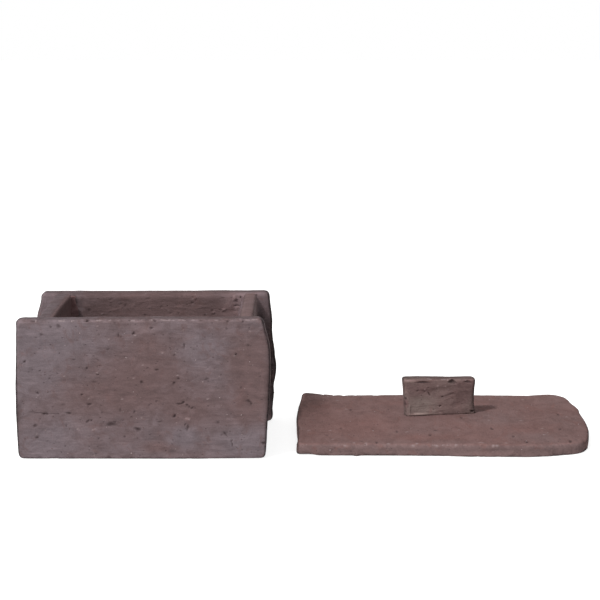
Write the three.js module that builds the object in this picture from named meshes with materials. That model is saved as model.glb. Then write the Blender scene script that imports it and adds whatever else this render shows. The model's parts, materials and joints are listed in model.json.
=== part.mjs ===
// Slab-built stoneware box with its loose lid lying beside it.
// Millimetres, +Z up. The origin is the middle of the box's base, on the table that it stands on.
// +X runs to the right along the front slab, +Y from the front slab to the back slab.

import * as THREE from 'three';
import { mergeVertices, toCreasedNormals } from 'three/addons/utils/BufferGeometryUtils.js';

// Box: outer sizes
const boxLength = 202;
const boxDepth = 108;
const boxHeight = 115.25;
const rimRise = 0.9; // the rim is this much higher at the right end than at the left

// Box: rolled slabs
const frontThickness = 11;
const backThickness = 12.5;
const floorThickness = 11;
const leftWallThickness = 12.75;
const leftWallSwell = 3.5; // the left wall is this much thicker at the back
const rightWallThickness = 10.5;
const leftRecess = 18.5; // from the front slab's left foot to the left wall's outer face
const rightRecess = 12.25; // from the end of the front slab's length to the right wall's outer face

// Box: how far the hand-cut front slab strays from a true rectangle
const frontFootTaper = 1.7; // the right foot is cut back by this much
const frontHeadTaper = 3.5; // the left end leans in by this much at the rim
const frontBow = 0.8; // and swells by this much lower down
const frontBowHeight = 38;
const frontShoulder = 2.2; // the right end swells up to a shoulder
const frontShoulderHeight = 90;
const frontCornerCut = 4; // above the shoulder the top right corner is cut back
const footLift = 0.4; // both slabs stand off the table by this much at the right

// Box: the same for the back slab
const backStand = 0.9; // its rim stands this much above the front slab's
const backFootTaper = 0.5;
const backHeadTaper = 2.8;
const backBow = 2.6;
const backBowHeight = 90;
const backElbow = 4.2; // the right end swells to an elbow
const backElbowHeight = 45;
const backHeadCut = 1.3;

// Softened edges and corners
const cornerSoftness = 1.5; // what a corner's curve leaves inside the rounded edge
const bowSoftness = 24;
const slabEdgeRadius = 2.2;
const rimWearRadius = 4.6; // the back slab's rim is worn rounder on the inside
const rimWearFade = 30; // over this length at each end of it
const wallEdgeRadius = 3.2;
const floorEdgeRadius = 1.5;

// Seam coils, pressed into the inner corners with a fingertip
const coilLeg = 6;
const coilHollow = 0.25; // how far the pressed face stands off the corner, as a share of the leg
const coilPress = 0.9;
const coilPressPitch = 14;
const coilBelowRim = 8;
const coilFadeLength = 14;
const coilFadeLeg = 3;

// Lid: one slab that overhangs the box all round
const lidEndOverhang = 23;
const lidSideOverhang = 15.75;
const lidThickness = 10;
const lidGap = 22.7; // between the box's length and the lid's, lying on the table
const lidSetBack = 5.4; // of the lid's front edge behind the box's front face
const lidTurn = THREE.MathUtils.degToRad(-0.9); // on the table

// Lid: how far its hand-cut outline strays from a true rectangle
const lidLeftTaper = 1.1; // at the front
const lidLeftBowPlace = 73; // from the front edge, where the left end stands out most
const lidBackTaper = 3.6;
const lidTrim = 0.8; // the front edge runs in by this much towards the right end
const lidTrimLength = 42;
const lidFrontCut = 9; // the front right corner is cut back along the front edge
const lidFrontCutDepth = 9; // and along the end
const lidPeakPlace = 54; // from the front edge, where the end reaches its full length
const lidPeakLean = 0.6;
const lidShoulderPlace = 30; // from the back edge, where the end starts to fall back
const lidBackCut = 10; // by this much at the back edge
const lidCornerSoftness = 5;
const lidBowSoftness = 16;
const lidTopRadius = 2.4;
const lidFootRadius = 1.5;

// Lid: the back left corner curled up in the firing
const curlHeight = 2.4;
const curlLength = 36;
const curlDepth = 48;

// Knob: an upright tab stuck on the lid
const knobWidth = 62.5;
const knobHeight = 32.5;
const knobThickness = 9.75;
const knobTurn = THREE.MathUtils.degToRad(9.5); // at its foot
const knobTwist = THREE.MathUtils.degToRad(-5); // from the foot to the head
const knobBehindMiddle = 13.75;
const knobLeftOfMiddle = 1;
const knobFootTaper = 2; // the left end leans in towards the foot
const knobWaist = 0.8; // the right end is drawn in at mid height
const knobCornerSoftness = 1;
const knobTopRadius = 1.6;
const knobCrevice = 0.8; // left round the foot where it was stuck on

// Steps that the curves are drawn in
const cornerSteps = 5;
const edgeSteps = 3;
const coilSteps = 4;
const stepsPerPress = 4;
const knobSteps = 4;
const rimStep = 16; // longest stretch of the back slab's outline
const lidStep = 13; // and of the lid's
const lidRings = [0.95, 0.86, 0.72, 0.5]; // rings across the lid's faces, as shares of its outline

// Places that follow from the sizes above
const up = new THREE.Vector3(0, 0, 1);
const halfLength = boxLength / 2;
const halfDepth = boxDepth / 2;
const frontInside = -halfDepth + frontThickness;
const backInside = halfDepth - backThickness;
const leftOutside = -halfLength + leftRecess;
const leftOutsideBack = leftOutside - leftWallSwell;
const leftInside = leftOutside + leftWallThickness;
const rightOutside = halfLength - rightRecess;
const rightInside = rightOutside - rightWallThickness;
const rightRim = boxHeight + rimRise;
const lidLength = boxLength + 2 * lidEndOverhang;
const lidDepth = boxDepth + 2 * lidSideOverhang;

function rimHeight(x) {
  return THREE.MathUtils.mapLinear(x, -halfLength, halfLength, boxHeight, rightRim);
}

// A closed anticlockwise outline through corners [x, y, softness]. A corner's curve takes up its
// softness of both sides.
function softOutline(corners) {
  const outline = new THREE.Shape();
  const cornerAt = (i) => new THREE.Vector2(...corners.at(i % corners.length));
  corners.forEach(([x, y, softness], i) => {
    const corner = cornerAt(i);
    const towards = (other) => corner.clone().lerp(other, Math.min(softness / corner.distanceTo(other), 0.45));
    const start = towards(cornerAt(i - 1));
    const end = towards(cornerAt(i + 1));
    if (i === 0) outline.moveTo(start.x, start.y);
    else outline.lineTo(start.x, start.y);
    if (softness > 0) outline.quadraticCurveTo(x, y, end.x, end.y);
  });
  return outline.getPoints(cornerSteps);
}

// The same outline with no stretch longer than a step.
function withStep(outline, step) {
  return outline.flatMap((point, i) => {
    const next = outline[(i + 1) % outline.length];
    const parts = Math.ceil(point.distanceTo(next) / step);
    return Array.from({ length: parts }, (_, k) => point.clone().lerp(next, k / parts));
  });
}

// The outline moved inwards by a distance, which may differ from point to point.
function inset(outline, distanceAt) {
  return outline.map((point, i) => {
    const along = outline[(i + 1) % outline.length].clone().sub(outline.at(i - 1)).normalize();
    const distance = distanceAt(point);
    return new THREE.Vector2(point.x - along.y * distance, point.y + along.x * distance);
  });
}

// Rings round the edge of a slab's face, from the face inwards. An outline point's ring lies at
// place(point, depth), where depth is measured from the face.
function edgeRings(outline, radiusAt, place) {
  return Array.from({ length: edgeSteps + 1 }, (_, i) => {
    const angle = (i / edgeSteps) * Math.PI / 2;
    const moved = inset(outline, (point) => radiusAt(point) * (1 - Math.sin(angle)));
    return moved.map((point, k) => place(point, radiusAt(outline[k]) * (1 - Math.cos(angle))));
  });
}

// A corner soft enough for a rounded edge to follow it.
function cornerFor(edgeRadius) {
  return cornerSoftness + edgeRadius * Math.SQRT2;
}

function centreOf(ring) {
  return ring.reduce((sum, point) => sum.add(point), new THREE.Vector3()).divideScalar(ring.length);
}

// Joins a stack of rings of equal count, anticlockwise seen from the last one, into one closed body.
// Each end is closed by a fan from its hub.
function loft(rings, firstHub = centreOf(rings[0]), lastHub = centreOf(rings.at(-1))) {
  const count = rings[0].length;
  const last = (rings.length - 1) * count;
  const hub = rings.length * count;
  const faces = [];
  for (let i = 0; i < count; i++) {
    const next = (i + 1) % count;
    for (let low = 0; low < last; low += count) {
      const high = low + count;
      faces.push([low + i, low + next, high + next], [low + i, high + next, high + i]);
    }
    faces.push([hub, next, i], [hub + 1, last + i, last + next]);
  }
  const geometry = new THREE.BufferGeometry();
  const points = [...rings.flat(), firstHub, lastHub];
  geometry.setAttribute('position', new THREE.Float32BufferAttribute(points.flatMap((p) => p.toArray()), 3));
  geometry.setIndex(faces.flat());
  return toCreasedNormals(withoutSlivers(mergeVertices(geometry, 1e-3)), Math.PI / 6);
}

// Leaves out the triangles whose corners were merged.
function withoutSlivers(geometry) {
  const corners = Array.from(geometry.index.array);
  const kept = [];
  for (let i = 0; i < corners.length; i += 3) {
    const face = corners.slice(i, i + 3);
    if (new Set(face).size === 3) kept.push(...face);
  }
  geometry.setIndex(kept);
  return geometry;
}

// An upright slab across the box, with its outline in X and Z.
function uprightSlab(outline, frontFace, frontRadiusAt, backFace, backRadiusAt) {
  const fromBack = (point, depth) => new THREE.Vector3(point.x, backFace - depth, point.y);
  const fromFront = (point, depth) => new THREE.Vector3(point.x, frontFace + depth, point.y);
  return loft([
    ...edgeRings(outline, backRadiusAt, fromBack),
    ...edgeRings(outline, frontRadiusAt, fromFront).reverse(),
  ]);
}

function softEdge() {
  return slabEdgeRadius;
}

// Along the back slab's inner rim, away from its ends
function wornRim({ x, y }) {
  const fromEnd = THREE.MathUtils.smoothstep(halfLength - Math.abs(x), 0, rimWearFade);
  const onRim = y > backBowHeight ? 1 : 0;
  return THREE.MathUtils.lerp(slabEdgeRadius, rimWearRadius, fromEnd * onRim);
}

function frontSlab() {
  const corner = cornerFor(slabEdgeRadius);
  const outline = softOutline([
    [-halfLength, 0, corner],
    [halfLength - frontFootTaper, footLift, corner],
    [halfLength + frontShoulder, frontShoulderHeight, bowSoftness],
    [halfLength - frontCornerCut, rightRim, corner],
    [-halfLength + frontHeadTaper, boxHeight, corner],
    [-halfLength - frontBow, frontBowHeight, bowSoftness],
  ]);
  return uprightSlab(outline, -halfDepth, softEdge, frontInside, softEdge);
}

function backSlab() {
  const corner = cornerFor(slabEdgeRadius);
  const outline = softOutline([
    [-halfLength, 0, corner],
    [halfLength - backFootTaper, footLift, corner],
    [halfLength + backElbow, backElbowHeight, bowSoftness],
    [halfLength - backHeadCut, rightRim + backStand, corner],
    [-halfLength + backHeadTaper, boxHeight + backStand, corner],
    [-halfLength - backBow, backBowHeight, bowSoftness],
  ]);
  return uprightSlab(withStep(outline, rimStep), backInside, wornRim, halfDepth, softEdge);
}

// A slab between the front and back slabs: its section in X and Z may differ at its two ends.
function betweenSlab(backSection, frontSection) {
  const ring = (section, y) => softOutline(section).map((p) => new THREE.Vector3(p.x, y, p.y));
  return loft([ring(backSection, backInside), ring(frontSection, frontInside)]);
}

function floorSlab() {
  const section = [
    [leftOutsideBack, 0, floorEdgeRadius],
    [rightOutside, 0, floorEdgeRadius],
    [rightOutside, floorThickness, floorEdgeRadius],
    [leftOutsideBack, floorThickness, floorEdgeRadius],
  ];
  return betweenSlab(section, section);
}

// Stands on the floor slab, with a rounded rim.
function wallSection(left, right, rim) {
  return [
    [left, floorThickness, 0],
    [right, floorThickness, 0],
    [right, rim, wallEdgeRadius],
    [left, rim, wallEdgeRadius],
  ];
}

function leftWall() {
  const rim = rimHeight(leftOutside);
  return betweenSlab(
    wallSection(leftOutsideBack, leftInside, rim),
    wallSection(leftOutside, leftInside, rim),
  );
}

function rightWall() {
  const section = wallSection(rightInside, rightOutside, rimHeight(rightOutside));
  return betweenSlab(section, section);
}

// A seam coil runs from a corner along legU x legV, and fills the angle between the two legs.
// Where coils meet they are mitred. An open coil fades out below the rim instead.
function seamCoil(corner, legU, legV, length, open) {
  const along = legU.clone().cross(legV);
  const section = (place, leg, hollow, mitred) => {
    const face = new THREE.QuadraticBezierCurve(
      new THREE.Vector2(leg, 0), new THREE.Vector2(hollow, hollow), new THREE.Vector2(0, leg));
    return [new THREE.Vector2(), ...face.getPoints(coilSteps)].map((p) => corner.clone()
      .addScaledVector(legU, p.x)
      .addScaledVector(legV, p.y)
      .addScaledVector(along, place + mitred * Math.max(p.x, p.y)));
  };
  const rest = coilLeg * coilHollow;
  const runEnd = open ? length : length - coilLeg;
  const presses = Math.max(1, Math.round((runEnd - coilLeg) / coilPressPitch));
  const stations = presses * stepsPerPress;
  const rings = [section(0, coilLeg, rest, 1)];
  for (let i = 0; i <= stations; i++) {
    const place = THREE.MathUtils.lerp(coilLeg, runEnd, i / stations);
    const press = coilPress * (1 - Math.cos((i / stepsPerPress) * 2 * Math.PI)) / 2;
    const fade = open ? THREE.MathUtils.smoothstep(place, length - coilFadeLength, length) : 0;
    const leg = THREE.MathUtils.lerp(coilLeg, coilFadeLeg, fade);
    rings.push(section(place, leg - press / 2, leg * coilHollow - press / 2, 0));
  }
  if (!open) rings.push(section(length, coilLeg, rest, -1));
  return loft(rings, rings[0][0], rings.at(-1)[0]);
}

function lidOutline() {
  const [left, right] = [-lidLength / 2, lidLength / 2];
  const [front, back] = [-lidDepth / 2, lidDepth / 2];
  return withStep(softOutline([
    [left + lidLeftTaper, front, lidCornerSoftness],
    [right - lidTrimLength, front + lidTrim, lidBowSoftness],
    [right - lidFrontCut, front + lidFrontCutDepth, lidBowSoftness],
    [right - lidPeakLean, front + lidPeakPlace, lidBowSoftness],
    [right, back - lidShoulderPlace, lidBowSoftness],
    [right - lidBackCut, back, lidCornerSoftness],
    [left + lidBackTaper, back, lidCornerSoftness],
    [left, front + lidLeftBowPlace, lidBowSoftness],
  ]), lidStep);
}

function lidCurl(x, y) {
  const fromEnd = 1 - THREE.MathUtils.smoothstep(x, -lidLength / 2, -lidLength / 2 + curlLength);
  const fromBack = THREE.MathUtils.smoothstep(y, lidDepth / 2 - curlDepth, lidDepth / 2);
  return curlHeight * fromEnd * fromBack;
}

function lidSlab() {
  const outline = lidOutline();
  const curled = (point, z) => new THREE.Vector3(point.x, point.y, z + lidCurl(point.x, point.y));
  const faceRings = (radius, z) => {
    const rim = inset(outline, () => radius);
    return lidRings.map((share) => rim.map((point) => curled(point.clone().multiplyScalar(share), z)));
  };
  return loft([
    ...faceRings(lidFootRadius, 0).reverse(),
    ...edgeRings(outline, () => lidFootRadius, (point, depth) => curled(point, depth)),
    ...edgeRings(outline, () => lidTopRadius, (point, depth) => curled(point, lidThickness - depth)).reverse(),
    ...faceRings(lidTopRadius, lidThickness),
  ]);
}

// The knob's section at a height, in the lid's plane.
function knobOutline(height) {
  const share = height / knobHeight;
  const left = -knobWidth / 2 + knobFootTaper * (1 - share);
  const right = knobWidth / 2 - knobWaist * Math.sin(share * Math.PI);
  const side = knobThickness / 2;
  const corner = knobCornerSoftness + knobTopRadius * Math.SQRT2;
  return softOutline([[left, -side, corner], [right, -side, corner], [right, side, corner], [left, side, corner]]);
}

function lidKnob() {
  const twisted = (point, height) => new THREE.Vector3(point.x, point.y, height)
    .applyAxisAngle(up, knobTwist * height / knobHeight);
  const ring = (height, distance) =>
    inset(knobOutline(height), () => distance).map((point) => twisted(point, height));
  const straight = knobHeight - knobTopRadius - knobCrevice;
  const sides = Array.from({ length: knobSteps }, (_, i) => ring(knobCrevice + straight * i / knobSteps, 0));
  const top = edgeRings(knobOutline(knobHeight), () => knobTopRadius,
    (point, depth) => twisted(point, knobHeight - depth));
  return loft([ring(0, knobCrevice), ...sides, ...top.reverse()]);
}

// Fired, unglazed clay, redder on the lid and greyer on the box
function stoneware(colour) {
  return new THREE.MeshStandardMaterial({ color: colour, roughness: 0.92, metalness: 0 });
}

const boxClay = stoneware('#735f61');
const seamClay = stoneware('#6b5756');
const lidClay = stoneware('#7b5f5c');
const knobClay = stoneware('#685452');

function piece(name, geometry, material) {
  const mesh = new THREE.Mesh(geometry, material);
  mesh.name = name;
  return mesh;
}

const box = new THREE.Group();
box.add(
  piece('floor_slab', floorSlab(), boxClay),
  piece('front_slab', frontSlab(), boxClay),
  piece('back_slab', backSlab(), boxClay),
  piece('left_wall', leftWall(), boxClay),
  piece('right_wall', rightWall(), boxClay),
);

// The seam coils, going round the inside anticlockwise from the front left corner
const insideCorners = [
  { name: 'front_left', side: 'front', x: leftInside, y: frontInside },
  { name: 'front_right', side: 'right', x: rightInside, y: frontInside },
  { name: 'back_right', side: 'back', x: rightInside, y: backInside },
  { name: 'back_left', side: 'left', x: leftInside, y: backInside },
];
insideCorners.forEach(({ name, side, x, y }, i) => {
  const corner = new THREE.Vector3(x, y, floorThickness);
  const quarterTurns = i * Math.PI / 2;
  const along = new THREE.Vector3(1, 0, 0).applyAxisAngle(up, quarterTurns).round();
  const across = new THREE.Vector3(0, 1, 0).applyAxisAngle(up, quarterTurns).round();
  const next = insideCorners[(i + 1) % insideCorners.length];
  const run = Math.abs(next.x - x) + Math.abs(next.y - y);
  const rise = boxHeight - coilBelowRim - floorThickness;
  box.add(
    piece(`floor_coil_${side}`, seamCoil(corner, across, up, run, false), seamClay),
    piece(`corner_coil_${name}`, seamCoil(corner, along, across, rise, true), seamClay),
  );
});

const lid = new THREE.Group();
lid.position.set(
  halfLength + lidGap + lidLength / 2,
  -halfDepth + lidSetBack + lidDepth / 2,
  0,
);
lid.rotation.z = lidTurn;
const knob = piece('lid_knob', lidKnob(), knobClay);
knob.position.set(-knobLeftOfMiddle, knobBehindMiddle, lidThickness);
knob.rotation.z = knobTurn;
lid.add(piece('lid_slab', lidSlab(), lidClay), knob);

const ceramicBox = new THREE.Group();
ceramicBox.add(box, lid);

export default ceramicBox;
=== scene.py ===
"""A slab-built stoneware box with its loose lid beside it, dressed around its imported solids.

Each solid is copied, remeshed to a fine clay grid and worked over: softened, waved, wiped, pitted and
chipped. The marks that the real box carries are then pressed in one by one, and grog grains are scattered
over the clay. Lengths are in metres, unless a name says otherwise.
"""

import json
import math
from collections import namedtuple

import bmesh
import bpy
import numpy as np
from bpy.props import FloatProperty, FloatVectorProperty, IntProperty, PointerProperty
from mathutils import Euler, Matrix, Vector

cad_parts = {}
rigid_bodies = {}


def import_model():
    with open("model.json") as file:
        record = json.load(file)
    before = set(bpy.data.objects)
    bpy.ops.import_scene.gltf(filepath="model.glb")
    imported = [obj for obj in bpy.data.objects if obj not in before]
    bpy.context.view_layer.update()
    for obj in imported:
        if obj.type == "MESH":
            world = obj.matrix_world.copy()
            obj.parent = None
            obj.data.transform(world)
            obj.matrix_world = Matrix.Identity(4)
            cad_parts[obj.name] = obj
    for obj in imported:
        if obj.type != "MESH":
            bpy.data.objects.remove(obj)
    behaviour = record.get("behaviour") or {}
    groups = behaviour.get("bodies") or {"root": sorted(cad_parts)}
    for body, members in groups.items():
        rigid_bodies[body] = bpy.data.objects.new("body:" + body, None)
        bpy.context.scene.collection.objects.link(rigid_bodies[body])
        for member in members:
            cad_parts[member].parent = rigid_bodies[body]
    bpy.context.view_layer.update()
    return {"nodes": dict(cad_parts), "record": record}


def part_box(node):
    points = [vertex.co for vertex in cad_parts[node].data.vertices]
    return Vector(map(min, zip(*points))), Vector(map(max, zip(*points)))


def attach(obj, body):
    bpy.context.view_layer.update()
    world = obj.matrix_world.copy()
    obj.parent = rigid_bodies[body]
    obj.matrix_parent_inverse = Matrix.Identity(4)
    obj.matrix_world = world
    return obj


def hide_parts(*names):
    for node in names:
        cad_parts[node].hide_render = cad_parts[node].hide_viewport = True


bl_info = {
    "name": "Stoneware Box",
    "version": (1, 0, 0),
    "blender": (4, 5, 0),
    "location": "View3D > Sidebar > Stoneware",
    "description": "Works the surface of a slab-built stoneware box and its lid",
    "category": "Object",
}

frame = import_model()

MM = 0.001
BODIES = frame["record"]["behaviour"]["bodies"]


# What a user would change


class ClaySurfaceSettings(bpy.types.PropertyGroup):
    """How the clay was worked."""

    slab_grid: FloatProperty(
        name="Slab Grid",
        description="Spacing of the mesh on the box's slabs",
        default=0.76 * MM,
        unit="LENGTH",
        precision=5,
    )
    lid_grid: FloatProperty(
        name="Lid Grid",
        description="Spacing of the mesh on the lid",
        default=0.95 * MM,
        unit="LENGTH",
        precision=5,
    )
    small_grid: FloatProperty(
        name="Small Piece Grid",
        description="Spacing of the mesh on the knob and the seam coils",
        default=0.5 * MM,
        unit="LENGTH",
        precision=5,
    )
    fullness: FloatProperty(
        name="Fullness",
        description="How far the clay stands out again after its edges are softened",
        default=0.4 * MM,
        unit="LENGTH",
        precision=5,
    )
    waviness: FloatProperty(
        name="Waviness",
        description="How far a rolled slab strays from flat",
        default=0.8 * MM,
        unit="LENGTH",
        precision=5,
    )
    wiping: FloatProperty(
        name="Wiping",
        description="Height of the drag marks left by wiping",
        default=0.16 * MM,
        unit="LENGTH",
        precision=5,
    )
    pit_depth: FloatProperty(
        name="Pit Depth",
        description="Depth of the small holes torn out by grog",
        default=0.55 * MM,
        unit="LENGTH",
        precision=5,
    )
    chip_depth: FloatProperty(
        name="Chip Depth",
        description="Depth of the chips along cut edges",
        default=0.5 * MM,
        unit="LENGTH",
        precision=5,
    )
    grains_per_area: FloatProperty(
        name="Grog Density",
        description="Grog grains that stand out of a square metre of clay",
        default=3800.0,
        min=0.0,
    )
    grain_radius: FloatProperty(
        name="Grog Size",
        description="Radius of the largest grog grains",
        default=0.55 * MM,
        unit="LENGTH",
        precision=5,
    )
    seed: IntProperty(name="Seed", description="Changes every random mark", default=5)


class ClayColourSettings(bpy.types.PropertyGroup):
    """The fired colours."""

    box_red: FloatVectorProperty(
        name="Box Red",
        description="Red-brown clay of the box",
        default=(0.102, 0.066, 0.0655),
        subtype="COLOR",
        size=3,
    )
    box_grey: FloatVectorProperty(
        name="Box Grey",
        description="Grey-purple bloom on the box",
        default=(0.122, 0.0955, 0.1035),
        subtype="COLOR",
        size=3,
    )
    lid_red: FloatVectorProperty(
        name="Lid Red",
        description="Red-brown clay of the lid",
        default=(0.121, 0.0665, 0.0615),
        subtype="COLOR",
        size=3,
    )
    lid_grey: FloatVectorProperty(
        name="Lid Grey",
        description="Grey bloom on the lid",
        default=(0.113, 0.0735, 0.0715),
        subtype="COLOR",
        size=3,
    )
    knob_red: FloatVectorProperty(
        name="Knob Red",
        description="Dark clay of the knob",
        default=(0.123, 0.077, 0.0745),
        subtype="COLOR",
        size=3,
    )
    knob_grey: FloatVectorProperty(
        name="Knob Grey",
        description="Grey bloom on the knob",
        default=(0.132, 0.1, 0.0915),
        subtype="COLOR",
        size=3,
    )
    grog_light: FloatVectorProperty(
        name="Light Grog",
        description="Pale fired clay grains",
        default=(0.27, 0.212, 0.21),
        subtype="COLOR",
        size=3,
    )
    # The colour of the painted shade in pits, chips, pressed marks and small hollows
    pit_shade: FloatVectorProperty(
        name="Pit Shade",
        description="Clay at the bottom of a pit",
        default=(0.032, 0.02, 0.02),
        subtype="COLOR",
        size=3,
    )


class StageSettings(bpy.types.PropertyGroup):
    """Camera, light and floor."""

    lens: FloatProperty(
        name="Lens",
        description="Focal length on a 36 mm wide sensor",
        default=72.78,
    )
    camera_place: FloatVectorProperty(
        name="Camera Place",
        description="Where the camera stands",
        default=(0.127, -0.9842, 0.3348),
        subtype="XYZ",
        unit="LENGTH",
        size=3,
    )
    camera_pitch: FloatProperty(
        name="Camera Pitch",
        description="How far the camera looks down",
        default=math.radians(12.325),
        subtype="ANGLE",
    )
    camera_turn: FloatProperty(
        name="Camera Turn",
        description="How far the camera is turned to the left",
        default=math.radians(0.042),
        subtype="ANGLE",
    )
    box_key_direction: FloatVectorProperty(
        name="Box Key Direction",
        description="The way the key light travels at the box",
        default=(0.55, 0.42, -1.0),
        subtype="DIRECTION",
        size=3,
    )
    lid_key_direction: FloatVectorProperty(
        name="Lid Key Direction",
        description="The way the key light travels at the lid",
        default=(0.72, 0.52, -1.0),
        subtype="DIRECTION",
        size=3,
    )
    key_strength: FloatProperty(
        name="Key Strength",
        description="Strength of the key light",
        default=3.05,
    )
    key_angle: FloatProperty(
        name="Key Softness",
        description="How wide the key light looks from the table",
        default=math.radians(7),
        subtype="ANGLE",
    )
    room_strength: FloatProperty(
        name="Room Strength",
        description="Strength of the light from all round",
        default=0.2,
    )
    sky_strength: FloatProperty(
        name="Sky Strength",
        description="Extra strength of the light from overhead",
        default=0.4,
    )
    front_strength: FloatProperty(
        name="Front Strength",
        description="Extra strength of the light from the front and the left",
        default=0.65,
    )
    paper_glow: FloatProperty(
        name="Paper Glow",
        description="How far the white paper stays light in a shadow",
        default=0.8,
    )


# Meshes

SAME_POINT = 0.001 * MM


def collection_for(body):
    """The collection that holds a body's pieces, so that a light can be kept to them."""
    name = body.capitalize() + " pieces"
    made = bpy.data.collections.get(name)
    if made is None:
        made = bpy.data.collections.new(name)
        bpy.context.scene.collection.children.link(made)
    return made


def new_object(name, mesh):
    made = bpy.data.objects.new(name, mesh)
    bpy.context.scene.collection.objects.link(made)
    return made


def clay_copy(name, node):
    """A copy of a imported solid, with its corners merged, as an object of its own."""
    mesh = frame["nodes"][node].data.copy()
    mesh.materials.clear()
    work = bmesh.new()
    work.from_mesh(mesh)
    bmesh.ops.remove_doubles(work, verts=work.verts, dist=SAME_POINT)
    work.to_mesh(mesh)
    work.free()
    return new_object(name, mesh)


def freeze(form):
    """Turns the modifiers' result into the object's own plain mesh."""
    graph = bpy.context.evaluated_depsgraph_get()
    made = bpy.data.meshes.new_from_object(form.evaluated_get(graph))
    form.modifiers.clear()
    form.data = made
    made.shade_smooth()
    return form


def remesh(form, grid):
    """Gives an object an even mesh, fine enough to carry the marks."""
    modifier = form.modifiers.new("Clay grid", "REMESH")
    modifier.mode = "VOXEL"
    modifier.voxel_size = grid
    modifier.use_smooth_shade = True
    return freeze(form)


def points_of(mesh):
    points = np.zeros(len(mesh.vertices) * 3, np.float32)
    mesh.vertices.foreach_get("co", points)
    return points.reshape(-1, 3).astype(float)


def normals_of(mesh):
    normals = np.zeros(len(mesh.vertices) * 3, np.float32)
    mesh.vertex_normals.foreach_get("vector", normals)
    return normals.reshape(-1, 3).astype(float)


def set_points(mesh, points):
    mesh.vertices.foreach_set("co", points.astype(np.float32).ravel())
    mesh.update()


def read_tone(mesh, name):
    """A tone that is painted on the points, or zero where there is none yet."""
    values = np.zeros(len(mesh.vertices), np.float32)
    if name in mesh.attributes:
        mesh.attributes[name].data.foreach_get("value", values)
    return values.astype(float)


def paint_tone(mesh, name, values):
    """Paints a tone on the points, held between -1 and 1."""
    attribute = mesh.attributes.get(name) or mesh.attributes.new(name, "FLOAT", "POINT")
    attribute.data.foreach_set("value", np.clip(values, -1, 1).astype(np.float32))


def smooth_step(values, low, high):
    """0 up to low, 1 from high on, and a soft rise between."""
    share = np.clip((values - low) / (high - low), 0, 1)
    return share * share * (3 - 2 * share)


def keep_above_ground(mesh):
    """Lifts every point that lies under the table."""
    points = points_of(mesh)
    points[:, 2] = np.maximum(points[:, 2], 0)
    set_points(mesh, points)


# Node trees


def add(tree, kind, inputs=None, **settings):
    """Adds a node. An input that is given a socket is linked to it, and any other is set."""
    made = tree.nodes.new(kind)
    for name, value in settings.items():
        setattr(made, name, value)
    for key, value in (inputs or {}).items():
        socket = made.inputs[key]
        if isinstance(value, bpy.types.NodeSocket):
            tree.links.new(value, socket)
        else:
            socket.default_value = value
    return made


def calculate(tree, operation, *values):
    """A Math node's result. It works in geometry and in material trees."""
    return add(tree, "ShaderNodeMath", dict(enumerate(values)), operation=operation).outputs[0]


def times(tree, first, second):
    return calculate(tree, "MULTIPLY", first, second)


def plus(tree, first, second):
    return calculate(tree, "ADD", first, second)


def minus(tree, first, second):
    return calculate(tree, "SUBTRACT", first, second)


def over(tree, first, second):
    return calculate(tree, "DIVIDE", first, second)


def calculate_vector(tree, operation, first, second):
    return add(tree, "ShaderNodeVectorMath", {0: first, 1: second}, operation=operation).outputs[0]


def dot(tree, first, second):
    return add(tree, "ShaderNodeVectorMath", {0: first, 1: second}, operation="DOT_PRODUCT").outputs["Value"]


def scaled(tree, vector, factor):
    """A vector or a colour, scaled by a factor."""
    return add(tree, "ShaderNodeVectorMath", {0: vector, "Scale": factor}, operation="SCALE").outputs[0]


def part_of(tree, vector, axis):
    """One of a vector's three parts."""
    return add(tree, "ShaderNodeSeparateXYZ", {0: vector}).outputs[axis]


def ramp(tree, value, low, high, to_low=0.0, to_high=1.0):
    """The value carried smoothly from one range to another, and held at its ends."""
    inputs = {"Value": value, "From Min": low, "From Max": high, "To Min": to_low, "To Max": to_high}
    return add(tree, "ShaderNodeMapRange", inputs, interpolation_type="SMOOTHSTEP").outputs["Result"]


def noise(tree, place, scale, detail=2.0, roughness=0.5, distortion=0.0):
    inputs = {
        "Vector": place,
        "Scale": scale,
        "Detail": detail,
        "Roughness": roughness,
        "Distortion": distortion,
    }
    return add(tree, "ShaderNodeTexNoise", inputs).outputs[0]


def stretched(tree, place, stretch, shift=(0.0, 0.0, 0.0)):
    """The place scaled by a stretch along each axis, and shifted to fall on other noise."""
    return calculate_vector(tree, "ADD", calculate_vector(tree, "MULTIPLY", place, stretch), shift)


def spots(tree, place, spacing, radius, share):
    """Round spots: one to a cell of the given spacing, on a share of the cells, of random size."""
    cells = add(tree, "ShaderNodeTexVoronoi", {"Vector": place, "Scale": over(tree, 1.0, spacing)}).outputs
    random = add(tree, "ShaderNodeSeparateXYZ", {0: cells["Color"]}).outputs
    size = times(tree, over(tree, radius, spacing), ramp(tree, random[1], 0.0, 1.0, 0.5, 1.0))
    shape = ramp(tree, over(tree, cells["Distance"], size), 0.35, 1.0, 1.0, 0.0)
    return times(tree, shape, calculate(tree, "LESS_THAN", random[0], share))


def geometry_tree(name, inputs):
    """A Geometry Nodes tree with named inputs: {name: (socket kind, default)}."""
    tree = bpy.data.node_groups.new(name, "GeometryNodeTree")
    tree.is_modifier = True
    tree.interface.new_socket("Geometry", in_out="INPUT", socket_type="NodeSocketGeometry")
    tree.interface.new_socket("Geometry", in_out="OUTPUT", socket_type="NodeSocketGeometry")
    for label, (kind, default) in inputs.items():
        socket = tree.interface.new_socket(label, in_out="INPUT", socket_type=kind)
        socket.default_value = default
    return tree


def use_tree(form, tree, values):
    """Adds the tree to an object, with its inputs set by their identifiers."""
    modifier = form.modifiers.new(tree.name, "NODES")
    modifier.node_group = tree
    for item in tree.interface.items_tree:
        if item.in_out == "INPUT" and item.name in values:
            modifier[item.identifier] = values[item.name]


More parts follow.
